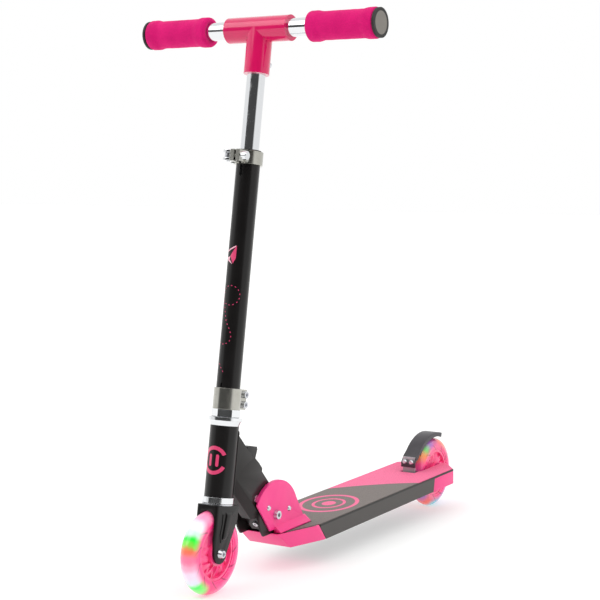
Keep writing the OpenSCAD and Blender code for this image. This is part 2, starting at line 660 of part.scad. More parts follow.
// ---------- sliding tube, tee and handlebars ----------
module slide_tube() color("#d9dbde") at_steer() ring(tube_r, tube_r - tube_wall, tube_bottom, tube_top);
module guide_plug() color("#3a393c") at_steer() {
    translate([0, 0, tube_bottom - 14]) cylinder(r = column_bore - run_fit, h = 14);
    translate([0, 0, tube_bottom]) cylinder(r = tube_r - tube_wall, h = 14);
}
module tee() color("#e0246f") at_steer() difference() {
    union() {
        translate([0, 0, bar_height]) rod_y(sleeve_r, -sleeve_half, sleeve_half);
        translate([0, 0, socket_s]) cylinder(r = sleeve_r, h = bar_height - socket_s);
    }
    translate([0, 0, bar_height]) rod_y(tube_r + run_fit, -80, 80);
    translate([0, 0, socket_s - 1]) cylinder(r = tube_r, h = tube_top - socket_s + 1);
    // notches that let the spring buttons slide out
    both_sides() {
        translate([0, 0, bar_height]) box(-30, 0, button_y, 90, -button_r - 0.4, button_r + 0.4);
        translate([-30, button_y, bar_height]) rotate([0, 90, 0]) cylinder(r = button_r + 0.4, h = 30);
    }
    tee_screw_place() translate([0, 0, tube_r - tube_wall]) cylinder(r = 2.5, h = 30);
    tee_screw_place() translate([0, 0, sleeve_r - 0.6]) cylinder(r = 4.4, h = 9);
}
module tee_screw_place() translate([0, 0, socket_s + 14]) rotate([0, -90, -25]) children();
module tee_screw() color("#e6e8ea") at_steer() tee_screw_place() {
    translate([0, 0, tube_r]) cylinder(r = 2.5, h = sleeve_r - tube_r + 1);
    difference() {
        translate([0, 0, sleeve_r - 0.6]) cylinder(r1 = 4.4, r2 = 3.4, h = 3);
        translate([0, 0, sleeve_r + 1]) cylinder(r = 1.8, h = 3, $fn = 6);
    }
}
module left_bar() color("#d9dbde") at_steer() translate([0, 0, bar_height]) difference() {
    ring_y(tube_r, tube_r - tube_wall, 12, grip_out);
    translate([-20, button_y, 0]) rotate([0, 90, 0]) cylinder(r = button_r + run_fit, h = 20);
}
module right_bar() mirror([0, 1, 0]) left_bar();
module left_grip() color("#e2327d") at_steer() translate([0, 0, bar_height]) rotate([-90, 0, 0])
    rotate_extrude() polygon([[tube_r, grip_in], [grip_d / 2 - 0.6, grip_in],
        [grip_d / 2 + 1.2, grip_in + 2], [grip_d / 2 + 1.2, grip_in + 11],
        [grip_d / 2, grip_in + 16], [grip_d / 2, grip_out - 18],
        [grip_d / 2 + 1.6, grip_out - 13], [grip_d / 2 + 1.6, grip_out - 2],
        [grip_d / 2, grip_out], [tube_r, grip_out]]);
module right_grip() mirror([0, 1, 0]) left_grip();
module left_cap() color("#6d6b66") at_steer() translate([0, 0, bar_height]) {
    rod_y(grip_d / 2 + 0.9, grip_out, bar_end);
    rod_y(tube_r - tube_wall, grip_out - 14, grip_out);
}
module right_cap() mirror([0, 1, 0]) left_cap();
module left_button() color("#c9ccd1") at_steer() translate([0, button_y, bar_height])
    rotate([0, 90, 0]) {
    translate([0, 0, -tube_r - 2.2]) cylinder(r1 = button_r - 0.6, r2 = button_r, h = 1);
    translate([0, 0, -tube_r - 1.2]) cylinder(r = button_r, h = 4.6);
}
module right_button() mirror([0, 1, 0]) left_button();

deck();
grip_tape();
nose_bracket();
tail_bracket();
fold_bracket();
bracket_bolts();
left_cover();
right_cover();
cover_screws();
pivot_bolt();
rear_axle();
rear_magnet();
rear_tyre();
rear_hub();
rear_bearings();
rear_lights();
brake_pin();
brake_spring();
brake_arm();
fender();
fender_screws();
neck();
pivot_block();
stop_screw();
head_tube();
headset_cups();
headset_bearings();
lever_pin();
lever_spring();
release_lever();
fork();
headset_races();
column_nut();
stem_clamp();
stem_clamp_bolts();
column_tube();
top_bush();
height_clamp();
clamp_rod();
clamp_nut();
clamp_lever();
front_axle();
front_magnet();
front_tyre();
front_hub();
front_bearings();
front_lights();
slide_tube();
guide_plug();
tee();
tee_screw();
left_bar();
right_bar();
left_grip();
right_grip();
left_cap();
right_cap();
left_button();
right_button();
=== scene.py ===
import json
import math

import bmesh
import bpy
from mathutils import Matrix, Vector, noise
from mathutils.bvhtree import BVHTree

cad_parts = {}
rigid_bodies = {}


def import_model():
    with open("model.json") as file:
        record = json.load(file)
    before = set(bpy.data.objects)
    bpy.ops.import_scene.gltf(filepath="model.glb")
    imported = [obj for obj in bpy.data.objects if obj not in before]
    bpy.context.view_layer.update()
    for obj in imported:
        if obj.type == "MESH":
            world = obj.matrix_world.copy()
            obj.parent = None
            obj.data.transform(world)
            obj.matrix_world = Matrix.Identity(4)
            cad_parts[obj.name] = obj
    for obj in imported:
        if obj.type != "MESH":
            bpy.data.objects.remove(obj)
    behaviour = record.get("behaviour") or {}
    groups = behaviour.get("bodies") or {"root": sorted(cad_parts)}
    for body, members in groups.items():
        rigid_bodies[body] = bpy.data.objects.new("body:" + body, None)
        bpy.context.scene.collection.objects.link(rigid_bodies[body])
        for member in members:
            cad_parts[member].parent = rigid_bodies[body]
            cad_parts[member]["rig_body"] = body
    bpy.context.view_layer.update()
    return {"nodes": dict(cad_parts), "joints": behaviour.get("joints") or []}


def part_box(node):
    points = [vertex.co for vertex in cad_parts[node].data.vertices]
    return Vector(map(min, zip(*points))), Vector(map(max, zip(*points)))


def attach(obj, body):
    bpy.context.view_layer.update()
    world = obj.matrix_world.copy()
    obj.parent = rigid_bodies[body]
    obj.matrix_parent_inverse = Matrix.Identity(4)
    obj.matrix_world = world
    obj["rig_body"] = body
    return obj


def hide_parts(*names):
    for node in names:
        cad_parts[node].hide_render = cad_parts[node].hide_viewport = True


bl_info = {
    "name": "Kick scooter looks",
    "version": (1, 0, 0),
    "blender": (4, 5, 0),
    "location": "View3D > Sidebar > Scooter",
    "description": "Builds the finishes and soft pieces of a folding kick scooter around its fixed frame",
    "category": "Object",
}

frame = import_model()
MM = 0.001
JOINTS = {j["name"]: j for j in frame["joints"]}
COLUMN = Vector(JOINTS["steer"]["axis"]).normalized()      # up along the column
AHEAD = Vector((COLUMN.z, 0, -COLUMN.x))                     # square to it, forwards
FOOT = Vector(JOINTS["steer"]["pos_m"]) - COLUMN * 0.1       # start of the column's scale
FRONT_HUB = Vector(JOINTS["front_wheel_spin"]["pos_m"])
REAR_HUB = Vector(JOINTS["rear_wheel_spin"]["pos_m"])
DECK_PITCH = math.radians(1.14)
BAR_UP = 0.623                      # the handlebar's centre line on the column's scale
CORE_IN, CORE_OUT = 0.0150, 0.0327  # radii of a wheel's bladed disc
BLADE_TWIST = 26.0                  # radians of slant per metre of radius


# ---------- colours ----------
def linear(code):
    """An sRGB hex value as linear red, green, blue and alpha."""
    parts = [int(code[i:i + 2], 16) / 255 for i in (1, 3, 5)]
    return tuple(c / 12.92 if c <= 0.04045 else ((c + 0.055) / 1.055) ** 2.4 for c in parts) + (1.0,)


def shade(colour, factor, lift=0.0):
    """The colour made darker or lighter."""
    return [min(1, c * factor + lift) for c in colour[:3]] + [1]


# ---------- settings a user would change ----------
def colour_setting(name, about, code):
    return bpy.props.FloatVectorProperty(name=name, description=about, subtype="COLOR", size=4, min=0, max=1,
                                         default=linear(code))


class ScooterColours(bpy.types.PropertyGroup):
    frame_pink: colour_setting("Bracket pink", "Powder coat of the nose, tail and folding brackets", "#F4428A")
    cover_pink: colour_setting("Cover pink", "Moulded side covers of the folding joint", "#F43288")
    tee_pink: colour_setting("Tee pink", "Enamel of the handlebar tee", "#CE0A58")
    grip_pink: colour_setting("Grip pink", "Foam of the handlebar grips", "#DA0670")
    tape_grey: colour_setting("Tape grey", "Printed film under the grip tape's grit", "#746C68")
    tape_pink: colour_setting("Tape pink", "Pink print on the grip tape", "#EC6A94")
    deck_grey: colour_setting("Deck grey", "Powder coat of the deck's folded sides", "#3C3835")
    black: colour_setting("Black", "Enamel of the column, head tube, neck and fork", "#0E0C0C")


class ScooterSizes(bpy.types.PropertyGroup):
    grip_flare: bpy.props.FloatProperty(
        name="Grip flare", description="How far the grip's ends stand proud of its middle",
        unit="LENGTH", default=1.5 * MM, min=0, max=3 * MM)
    edge_round: bpy.props.FloatProperty(
        name="Edge rounding", description="Rounding on folded and moulded edges",
        unit="LENGTH", default=0.9 * MM, min=0.1 * MM, max=2 * MM)
    blades: bpy.props.IntProperty(
        name="Core blades", description="Slanting blades around each wheel's core",
        default=11, min=5, max=24)
    dot_pitch: bpy.props.FloatProperty(
        name="Dot pitch", description="Distance between the dots of the printed trail",
        unit="LENGTH", default=5.2 * MM, min=3 * MM, max=10 * MM)


# ---------- materials ----------
def put(tree, kind, inputs=None, **settings):
    """Adds one node, sets its own settings, and fills its inputs with values or with other nodes' outputs."""
    made = tree.nodes.new(kind)
    for key, value in settings.items():
        setattr(made, key, value)
    for key, value in (inputs or {}).items():
        if isinstance(value, bpy.types.NodeSocket):
            tree.links.new(value, made.inputs[key])
        else:
            made.inputs[key].default_value = value
    return made


def start(name):
    """An empty material with its output and its object coordinates in metres."""
    material = bpy.data.materials.new(name)
    material.use_nodes = True
    tree = material.node_tree
    tree.nodes.clear()
    place = put(tree, "ShaderNodeTexCoord").outputs["Object"]
    return material, tree, place


def close(material, tree, surface):
    put(tree, "ShaderNodeOutputMaterial", {"Surface": surface.outputs[0]})
    return material


def stops(ramp, table):
    """Gives a colour ramp its stops as (position, colour)."""
    band = ramp.color_ramp
    while len(band.elements) > 1:
        band.elements.remove(band.elements[-1])
    band.elements[0].position, band.elements[0].color = table[0]
    for position, colour in table[1:]:
        band.elements.new(position).color = colour
    return ramp


def enamel_on_steel(name, colour, roughness, peel=0.12, gloss=0.22):
    """Gloss enamel, sprayed and baked on steel tube. A clear skin over a slightly soft surface, with orange peel
    about 1.5 mm across, drawn a little strong so that it shows in the highlights, and rounded arrises."""
    material, tree, place = start(name)
    peel_map = put(tree, "ShaderNodeTexNoise", {"Vector": place, "Scale": 650.0, "Detail": 2.0})
    haze = put(tree, "ShaderNodeTexNoise", {"Vector": place, "Scale": 40.0, "Detail": 4.0})
    rough = put(tree, "ShaderNodeMapRange", {"Value": haze.outputs["Fac"], "To Min": roughness - 0.05,
                                             "To Max": roughness + 0.07})
    tint = put(tree, "ShaderNodeMix", {"Factor": haze.outputs["Fac"], "A": colour,
                                       "B": shade(colour, 1.25, 0.002)}, data_type="RGBA")
    arris = put(tree, "ShaderNodeBevel", {"Radius": 0.5 * MM}, samples=4)
    bump = put(tree, "ShaderNodeBump", {"Strength": peel, "Distance": 0.1 * MM, "Height": peel_map.outputs["Fac"],
                                        "Normal": arris.outputs["Normal"]})
    paint = put(tree, "ShaderNodeBsdfPrincipled", {
        "Base Color": tint.outputs["Result"], "Roughness": rough.outputs["Result"], "IOR": 1.5,
        "Specular IOR Level": 0.2, "Coat Weight": gloss, "Coat Roughness": 0.07, "Normal": bump.outputs["Normal"]})
    return close(material, tree, paint)


def powder_coat(name, colour, roughness=0.42):
    """Polyester powder coat on folded steel. Even satin skin with a fine pebble about 0.6 mm across."""
    material, tree, place = start(name)
    pebble = put(tree, "ShaderNodeTexNoise", {"Vector": place, "Scale": 1600.0, "Detail": 1.5})
    cloud = put(tree, "ShaderNodeTexNoise", {"Vector": place, "Scale": 25.0, "Detail": 3.0})
    tint = put(tree, "ShaderNodeMix", {"Factor": cloud.outputs["Fac"], "A": shade(colour, 0.93),
                                       "B": shade(colour, 1.07)}, data_type="RGBA")
    rough = put(tree, "ShaderNodeMapRange", {"Value": cloud.outputs["Fac"], "To Min": roughness - 0.06,
                                             "To Max": roughness + 0.06})
    arris = put(tree, "ShaderNodeBevel", {"Radius": 0.6 * MM}, samples=4)
    bump = put(tree, "ShaderNodeBump", {"Strength": 0.18, "Distance": 0.08 * MM, "Height": pebble.outputs["Fac"],
                                        "Normal": arris.outputs["Normal"]})
    coat = put(tree, "ShaderNodeBsdfPrincipled", {
        "Base Color": tint.outputs["Result"], "Roughness": rough.outputs["Result"], "IOR": 1.5,
        "Specular IOR Level": 0.3, "Coat Weight": 0.2, "Coat Roughness": 0.2, "Normal": bump.outputs["Normal"]})
    return close(material, tree, coat)


def deck_coat(colour):
    """Dark grey powder coat on the deck tray. The bare bend of its sides, just below the tape's edge, is painted
    near black as painted shade on that bend.
    """
    material, tree, place = start("deck_powder_coat")
    split = put(tree, "ShaderNodeSeparateXYZ", {"Vector": place})
    slope = put(tree, "ShaderNodeMath", {0: split.outputs["X"], 1: math.tan(DECK_PITCH), 2: split.outputs["Z"]},
                operation="MULTIPLY_ADD")
    # painted shade: a near-black band on the bare bend along the top of the deck's side, under the tape's edge
    bend_shade = put(tree, "ShaderNodeMapRange", {"Value": slope.outputs["Value"], "From Min": 0.0536, "From Max": 0.0542})
    pebble = put(tree, "ShaderNodeTexNoise", {"Vector": place, "Scale": 1600.0, "Detail": 1.5})
    cloud = put(tree, "ShaderNodeTexNoise", {"Vector": place, "Scale": 18.0, "Detail": 4.0})
    skin = put(tree, "ShaderNodeMix", {"Factor": cloud.outputs["Fac"], "A": shade(colour, 0.88),
                                       "B": shade(colour, 1.12)}, data_type="RGBA")
    tint = put(tree, "ShaderNodeMix", {"Factor": bend_shade.outputs["Result"], "A": skin.outputs["Result"],
                                       "B": linear("#14110F")}, data_type="RGBA")
    arris = put(tree, "ShaderNodeBevel", {"Radius": 0.8 * MM}, samples=4)
    bump = put(tree, "ShaderNodeBump", {"Strength": 0.2, "Distance": 0.08 * MM, "Height": pebble.outputs["Fac"],
                                        "Normal": arris.outputs["Normal"]})
    coat = put(tree, "ShaderNodeBsdfPrincipled", {"Base Color": tint.outputs["Result"], "Roughness": 0.46,
                                                  "IOR": 1.5, "Normal": bump.outputs["Normal"]})
    return close(material, tree, coat)


def gritted_tape(grey, pink):
    """Printed polyester film under sharp grit. Grit about 0.5 mm, drawn at 0.9 mm so that it shows; the print is
    a pink tail zone behind a slanting edge, and two plain rings round a spot."""
    material, tree, place = start("gritted_grip_tape")
    split = put(tree, "ShaderNodeSeparateXYZ", {"Vector": place})
    x, y = split.outputs["X"], split.outputs["Y"]
    # tail zone: a slanting front edge with a shallow hollow in it
    hollow = put(tree, "ShaderNodeMath", {0: y, 1: y}, operation="MULTIPLY")
    edge = put(tree, "ShaderNodeMath", {0: y, 1: 1.02, 2: x}, operation="MULTIPLY_ADD")
    edge = put(tree, "ShaderNodeMath", {0: hollow.outputs[0], 1: -4.0, 2: edge.outputs[0]}, operation="MULTIPLY_ADD")
    tail = put(tree, "ShaderNodeMapRange", {"Value": edge.outputs[0], "From Min": -0.1160, "From Max": -0.1172})
    # double ring
    ring_mid = put(tree, "ShaderNodeVectorMath", {0: place, 1: (0.008, -0.001, 0.0)}, operation="SUBTRACT")
    flat = put(tree, "ShaderNodeVectorMath", {0: ring_mid.outputs[0], 1: (0.95, 1.32, 0.0)}, operation="MULTIPLY")
    reach = put(tree, "ShaderNodeVectorMath", {0: flat.outputs[0]}, operation="LENGTH").outputs["Value"]
    rings = None
    for radius, half in ((0.0445, 0.0033), (0.0245, 0.0024), (0.0056, 0.0056)):
        off = put(tree, "ShaderNodeMath", {0: reach, 1: radius}, operation="SUBTRACT")
        off = put(tree, "ShaderNodeMath", {0: off.outputs[0]}, operation="ABSOLUTE")
        band = put(tree, "ShaderNodeMapRange", {"Value": off.outputs[0], "From Min": half + 0.0003,
                                                "From Max": half - 0.0003}).outputs["Result"]
        rings = band if rings is None else put(tree, "ShaderNodeMath", {0: rings, 1: band},
                                               operation="MAXIMUM").outputs[0]
    printed = put(tree, "ShaderNodeMath", {0: tail.outputs[0], 1: rings}, operation="MAXIMUM")
    grit = put(tree, "ShaderNodeTexVoronoi", {"Vector": place, "Scale": 1100.0}, feature="F1")
    cloud = put(tree, "ShaderNodeTexNoise", {"Vector": place, "Scale": 900.0, "Detail": 3.0})
    tint = put(tree, "ShaderNodeMix", {"Factor": printed.outputs[0], "A": grey, "B": pink}, data_type="RGBA")
    speck = put(tree, "ShaderNodeMapRange", {"Value": cloud.outputs["Fac"], "From Min": 0.3, "From Max": 0.7,
                                             "To Min": 0.78, "To Max": 1.18})
    film = put(tree, "ShaderNodeMix", {"Factor": 1.0, "A": tint.outputs["Result"], "B": speck.outputs["Result"]},
               data_type="RGBA", blend_type="MULTIPLY")
    bump = put(tree, "ShaderNodeBump", {"Strength": 0.55, "Distance": 0.3 * MM, "Height": grit.outputs["Distance"]})
    tape = put(tree, "ShaderNodeBsdfPrincipled", {"Base Color": film.outputs["Result"], "Roughness": 0.72,
                                                  "IOR": 1.55, "Normal": bump.outputs["Normal"]})
    return close(material, tree, tape)


def moulded_abs(name, colour, roughness=0.3):
    """Injection-moulded ABS. Smooth and a little waxy, with faint sink and flow marks some 8 mm long."""
    material, tree, place = start(name)
    sink = put(tree, "ShaderNodeTexNoise", {"Vector": place, "Scale": 120.0, "Detail": 1.0})
    flow = put(tree, "ShaderNodeTexNoise", {"Vector": place, "Scale": 30.0, "Detail": 3.0, "Distortion": 0.6})
    tint = put(tree, "ShaderNodeMix", {"Factor": flow.outputs["Fac"], "A": shade(colour, 0.95),
                                       "B": shade(colour, 1.06)}, data_type="RGBA")
    rough = put(tree, "ShaderNodeMapRange", {"Value": flow.outputs["Fac"], "To Min": roughness - 0.07,
                                             "To Max": roughness + 0.08})
    arris = put(tree, "ShaderNodeBevel", {"Radius": 0.7 * MM}, samples=4)
    bump = put(tree, "ShaderNodeBump", {"Strength": 0.15, "Distance": 0.1 * MM, "Height": sink.outputs["Fac"],
                                        "Normal": arris.outputs["Normal"]})
    body = put(tree, "ShaderNodeBsdfPrincipled", {
        "Base Color": tint.outputs["Result"], "Roughness": rough.outputs["Result"], "IOR": 1.53,
        "Subsurface Weight": 0.08, "Subsurface Radius": (0.004, 0.001, 0.0015), "Normal": bump.outputs["Normal"]})
    return close(material, tree, body)


def moulded_polypropylene(name, colour, roughness=0.42):
    """Injection-moulded polypropylene, spark-eroded skin. Soft grey sheen over a fine leathery grain near 0.8 mm."""
    material, tree, place = start(name)
    grain = put(tree, "ShaderNodeTexVoronoi", {"Vector": place, "Scale": 1250.0}, feature="SMOOTH_F1")
    wear = put(tree, "ShaderNodeTexNoise", {"Vector": place, "Scale": 60.0, "Detail": 4.0})
    tint = put(tree, "ShaderNodeMix", {"Factor": wear.outputs["Fac"], "A": colour,
                                       "B": shade(colour, 1.5, 0.004)}, data_type="RGBA")
    arris = put(tree, "ShaderNodeBevel", {"Radius": 0.8 * MM}, samples=4)
    bump = put(tree, "ShaderNodeBump", {"Strength": 0.25, "Distance": 0.1 * MM, "Height": grain.outputs["Distance"],
                                        "Normal": arris.outputs["Normal"]})
    skin = put(tree, "ShaderNodeBsdfPrincipled", {"Base Color": tint.outputs["Result"], "Roughness": roughness,
                                                  "IOR": 1.49, "Normal": bump.outputs["Normal"]})
    return close(material, tree, skin)


def polished_chrome():
    """Nickel-chrome plate, buffed. Mirror bright, with faint buffing haze in bands a few millimetres wide."""
    material, tree, place = start("polished_chrome")
    haze = put(tree, "ShaderNodeTexNoise", {"Vector": place, "Scale": 90.0, "Detail": 5.0})
    rough = put(tree, "ShaderNodeMapRange", {"Value": haze.outputs["Fac"], "From Min": 0.35, "From Max": 0.75,
                                             "To Min": 0.05, "To Max": 0.14})
    wave = put(tree, "ShaderNodeTexNoise", {"Vector": place, "Scale": 220.0, "Detail": 1.0})
    arris = put(tree, "ShaderNodeBevel", {"Radius": 0.4 * MM}, samples=4)
    bump = put(tree, "ShaderNodeBump", {"Strength": 0.05, "Distance": 0.1 * MM, "Height": wave.outputs["Fac"],
                                        "Normal": arris.outputs["Normal"]})
    plate = put(tree, "ShaderNodeBsdfPrincipled", {"Base Color": linear("#E4E6E8"), "Metallic": 1.0,
                                                   "Roughness": rough.outputs["Result"],
                                                   "Normal": bump.outputs["Normal"]})
    return close(material, tree, plate)


def tumbled_alloy():
    """Die-cast aluminium alloy, tumbled bright. Grey and softly mirrored, with a faint grain 0.7 mm across."""
    material, tree, place = start("tumbled_cast_aluminium")
    grain = put(tree, "ShaderNodeTexNoise", {"Vector": place, "Scale": 1400.0, "Detail": 2.0})
    cloud = put(tree, "ShaderNodeTexNoise", {"Vector": place, "Scale": 70.0, "Detail": 3.0})
    tint = put(tree, "ShaderNodeMix", {"Factor": cloud.outputs["Fac"], "A": linear("#A3A29A"),
                                       "B": linear("#C2C1BA")}, data_type="RGBA")
    arris = put(tree, "ShaderNodeBevel", {"Radius": 0.6 * MM}, samples=4)
    bump = put(tree, "ShaderNodeBump", {"Strength": 0.15, "Distance": 0.06 * MM, "Height": grain.outputs["Fac"],
                                        "Normal": arris.outputs["Normal"]})
    metal = put(tree, "ShaderNodeBsdfPrincipled", {"Base Color": tint.outputs["Result"], "Metallic": 1.0,
                                                   "Roughness": 0.2, "Normal": bump.outputs["Normal"]})
    return close(material, tree, metal)


def zinc_plate():
    """Bright zinc plate on turned and pressed steel. Pale grey, with tool marks about 0.3 mm apart, drawn at
    0.5 mm."""
    material, tree, place = start("zinc_plate")
    marks = put(tree, "ShaderNodeTexNoise", {"Vector": place, "Scale": 2000.0, "Detail": 2.0})
    cloud = put(tree, "ShaderNodeTexNoise", {"Vector": place, "Scale": 150.0, "Detail": 3.0})
    rough = put(tree, "ShaderNodeMapRange", {"Value": cloud.outputs["Fac"], "To Min": 0.16, "To Max": 0.34})
    tint = put(tree, "ShaderNodeMix", {"Factor": cloud.outputs["Fac"], "A": linear("#B9BCC2"),
                                       "B": linear("#E2E3E6")}, data_type="RGBA")
    arris = put(tree, "ShaderNodeBevel", {"Radius": 0.35 * MM}, samples=4)
    bump = put(tree, "ShaderNodeBump", {"Strength": 0.2, "Distance": 0.05 * MM, "Height": marks.outputs["Fac"],
                                        "Normal": arris.outputs["Normal"]})
    plate = put(tree, "ShaderNodeBsdfPrincipled", {"Base Color": tint.outputs["Result"], "Metallic": 1.0,
                                                   "Roughness": rough.outputs["Result"],
                                                   "Normal": bump.outputs["Normal"]})
    return close(material, tree, plate)


def rolled_spring_steel():
    """Cold-rolled spring steel strip. Mid grey with rolling lines along its length, 0.4 mm apart."""
    material, tree, place = start("rolled_spring_steel")
    along = put(tree, "ShaderNodeMapping", {"Vector": place, "Scale": (60.0, 2500.0, 60.0)})
    lines = put(tree, "ShaderNodeTexNoise", {"Vector": along.outputs[0], "Scale": 1.0, "Detail": 3.0})
    tint = put(tree, "ShaderNodeMix", {"Factor": lines.outputs["Fac"], "A": linear("#A2A5A8"),
                                       "B": linear("#CFD1D3")}, data_type="RGBA")
    bump = put(tree, "ShaderNodeBump", {"Strength": 0.15, "Distance": 0.05 * MM, "Height": lines.outputs["Fac"]})
    strip = put(tree, "ShaderNodeBsdfPrincipled", {"Base Color": tint.outputs["Result"], "Metallic": 0.7,
                                                   "Roughness": 0.5, "Normal": bump.outputs["Normal"]})
    return close(material, tree, strip)


def eva_foam(colour):
    """Closed-cell EVA foam, ground on a mandrel. Matt and velvety, with open cells about 0.7 mm across,
    drawn at 1 mm."""
    material, tree, place = start("ground_eva_foam")
    cells = put(tree, "ShaderNodeTexVoronoi", {"Vector": place, "Scale": 1000.0}, feature="F1")
    fuzz = put(tree, "ShaderNodeTexNoise", {"Vector": place, "Scale": 450.0, "Detail": 5.0})
    cloud = put(tree, "ShaderNodeTexNoise", {"Vector": place, "Scale": 55.0, "Detail": 3.0})
    depth = put(tree, "ShaderNodeMath", {0: cells.outputs["Distance"], 1: fuzz.outputs["Fac"]}, operation="ADD")
    tint = put(tree, "ShaderNodeMix", {"Factor": cloud.outputs["Fac"], "A": shade(colour, 0.82),
                                       "B": shade(colour, 1.16, 0.01)}, data_type="RGBA")
    # painted shade: each foam cell is darker towards its middle, where its pit is deepest
    cell_pit_shade = put(tree, "ShaderNodeMapRange", {"Value": cells.outputs["Distance"], "From Min": 0.0, "From Max": 0.6,
                                           "To Min": 0.78, "To Max": 1.05})
    tint = put(tree, "ShaderNodeMix", {"Factor": 1.0, "A": tint.outputs["Result"], "B": cell_pit_shade.outputs["Result"]},
               data_type="RGBA", blend_type="MULTIPLY")
    bump = put(tree, "ShaderNodeBump", {"Strength": 0.5, "Distance": 0.35 * MM, "Height": depth.outputs[0]})
    foam = put(tree, "ShaderNodeBsdfPrincipled", {
        "Base Color": tint.outputs["Result"], "Roughness": 0.86, "IOR": 1.45, "Specular IOR Level": 0.15,
        "Sheen Weight": 0.06, "Sheen Roughness": 0.5, "Normal": bump.outputs["Normal"]})
    return close(material, tree, foam)


def moulded_rubber():
    """Moulded thermoplastic rubber of the end caps: a black rim round a worn grey disc, with a fine satin grain."""
    material, tree, place = start("moulded_rubber")
    centre = FOOT + COLUMN * BAR_UP
    local = put(tree, "ShaderNodeVectorMath", {0: place, 1: centre}, operation="SUBTRACT")
    flat = put(tree, "ShaderNodeVectorMath", {0: local.outputs[0], 1: (1.0, 0.0, 1.0)}, operation="MULTIPLY")
    reach = put(tree, "ShaderNodeVectorMath", {0: flat.outputs[0]}, operation="LENGTH")
    disc = put(tree, "ShaderNodeMapRange", {"Value": reach.outputs["Value"], "From Min": 0.0137, "From Max": 0.0132})
    grain = put(tree, "ShaderNodeTexNoise", {"Vector": place, "Scale": 1400.0, "Detail": 3.0})
    grey = put(tree, "ShaderNodeMix", {"Factor": grain.outputs["Fac"], "A": linear("#6C6761"),
                                       "B": linear("#86817A")}, data_type="RGBA")
    tint = put(tree, "ShaderNodeMix", {"Factor": disc.outputs["Result"], "A": linear("#1B1918"),
                                       "B": grey.outputs["Result"]}, data_type="RGBA")
    bump = put(tree, "ShaderNodeBump", {"Strength": 0.3, "Distance": 0.1 * MM, "Height": grain.outputs["Fac"]})
    rubber = put(tree, "ShaderNodeBsdfPrincipled", {"Base Color": tint.outputs["Result"], "Roughness": 0.6,
                                                    "IOR": 1.5, "Normal": bump.outputs["Normal"]})
    return close(material, tree, rubber)


def lit_polyurethane(name, hub, glow, strength):
    """Cast clear polyurethane, lit from inside by lamps. Each lamp's colour spreads around the tread and fades
    towards the core, which shows through the flat sides as hot pink with thin dark blade lines."""
    material, tree, place = start(name)
    local = put(tree, "ShaderNodeVectorMath", {0: place, 1: hub}, operation="SUBTRACT")
    wobble = put(tree, "ShaderNodeTexNoise", {"Vector": place, "Scale": 45.0, "Detail": 3.0})
    split = put(tree, "ShaderNodeSeparateXYZ", {"Vector": local.outputs[0]})
    turn = put(tree, "ShaderNodeMath", {0: split.outputs["Z"], 1: split.outputs["X"]}, operation="ARCTAN2")
    spread = put(tree, "ShaderNodeMapRange", {"Value": turn.outputs[0], "From Min": -math.pi, "From Max": math.pi})
    drift = put(tree, "ShaderNodeMath", {0: wobble.outputs["Fac"], 1: 0.05, 2: spread.outputs["Result"]},
                operation="MULTIPLY_ADD")
    drift = put(tree, "ShaderNodeMath", {0: drift.outputs[0], 1: 0.025}, operation="SUBTRACT")
    table = [((a + 180) / 360, linear(c)) for a, c in glow]
    lamps = stops(put(tree, "ShaderNodeValToRGB", {"Fac": drift.outputs[0]}), table)
    lamps.color_ramp.interpolation = "EASE"
    flat = put(tree, "ShaderNodeVectorMath", {0: local.outputs[0], 1: (1.0, 0.0, 1.0)}, operation="MULTIPLY")
    reach = put(tree, "ShaderNodeVectorMath", {0: flat.outputs[0]}, operation="LENGTH").outputs["Value"]
    # blade lines seen through the sides
    swirl = put(tree, "ShaderNodeMath", {0: reach, 1: BLADE_TWIST, 2: turn.outputs[0]}, operation="MULTIPLY_ADD")
    blades = float(bpy.context.scene.scooter_sizes.blades)
    comb = put(tree, "ShaderNodeMath", {0: swirl.outputs[0], 1: blades}, operation="MULTIPLY")
    comb = put(tree, "ShaderNodeMath", {0: comb.outputs[0]}, operation="SINE")
    dark = put(tree, "ShaderNodeMapRange", {"Value": comb.outputs[0], "From Min": 0.82, "From Max": 1.0})
    core = put(tree, "ShaderNodeMix", {"Factor": dark.outputs["Result"], "A": linear("#F42E80"),
                                       "B": linear("#B00A58")}, data_type="RGBA")
    fade = put(tree, "ShaderNodeMapRange", {"Value": reach, "From Min": 0.0350, "From Max": 0.0465},
               interpolation_type="SMOOTHSTEP")
    colour = put(tree, "ShaderNodeMix", {"Factor": fade.outputs["Result"], "A": core.outputs["Result"],
                                         "B": lamps.outputs["Color"]}, data_type="RGBA")
    bubble = put(tree, "ShaderNodeTexNoise", {"Vector": place, "Scale": 140.0, "Detail": 2.0})
    bump = put(tree, "ShaderNodeBump", {"Strength": 0.12, "Distance": 0.3 * MM, "Height": bubble.outputs["Fac"]})
    cast = put(tree, "ShaderNodeBsdfPrincipled", {
        "Base Color": colour.outputs["Result"], "Roughness": 0.16, "IOR": 1.5, "Coat Weight": 0.6,
        "Coat Roughness": 0.05, "Subsurface Weight": 0.3, "Subsurface Radius": (0.006, 0.004, 0.005),
        "Emission Color": colour.outputs["Result"], "Emission Strength": strength, "Normal": bump.outputs["Normal"]})
    return close(material, tree, cast)


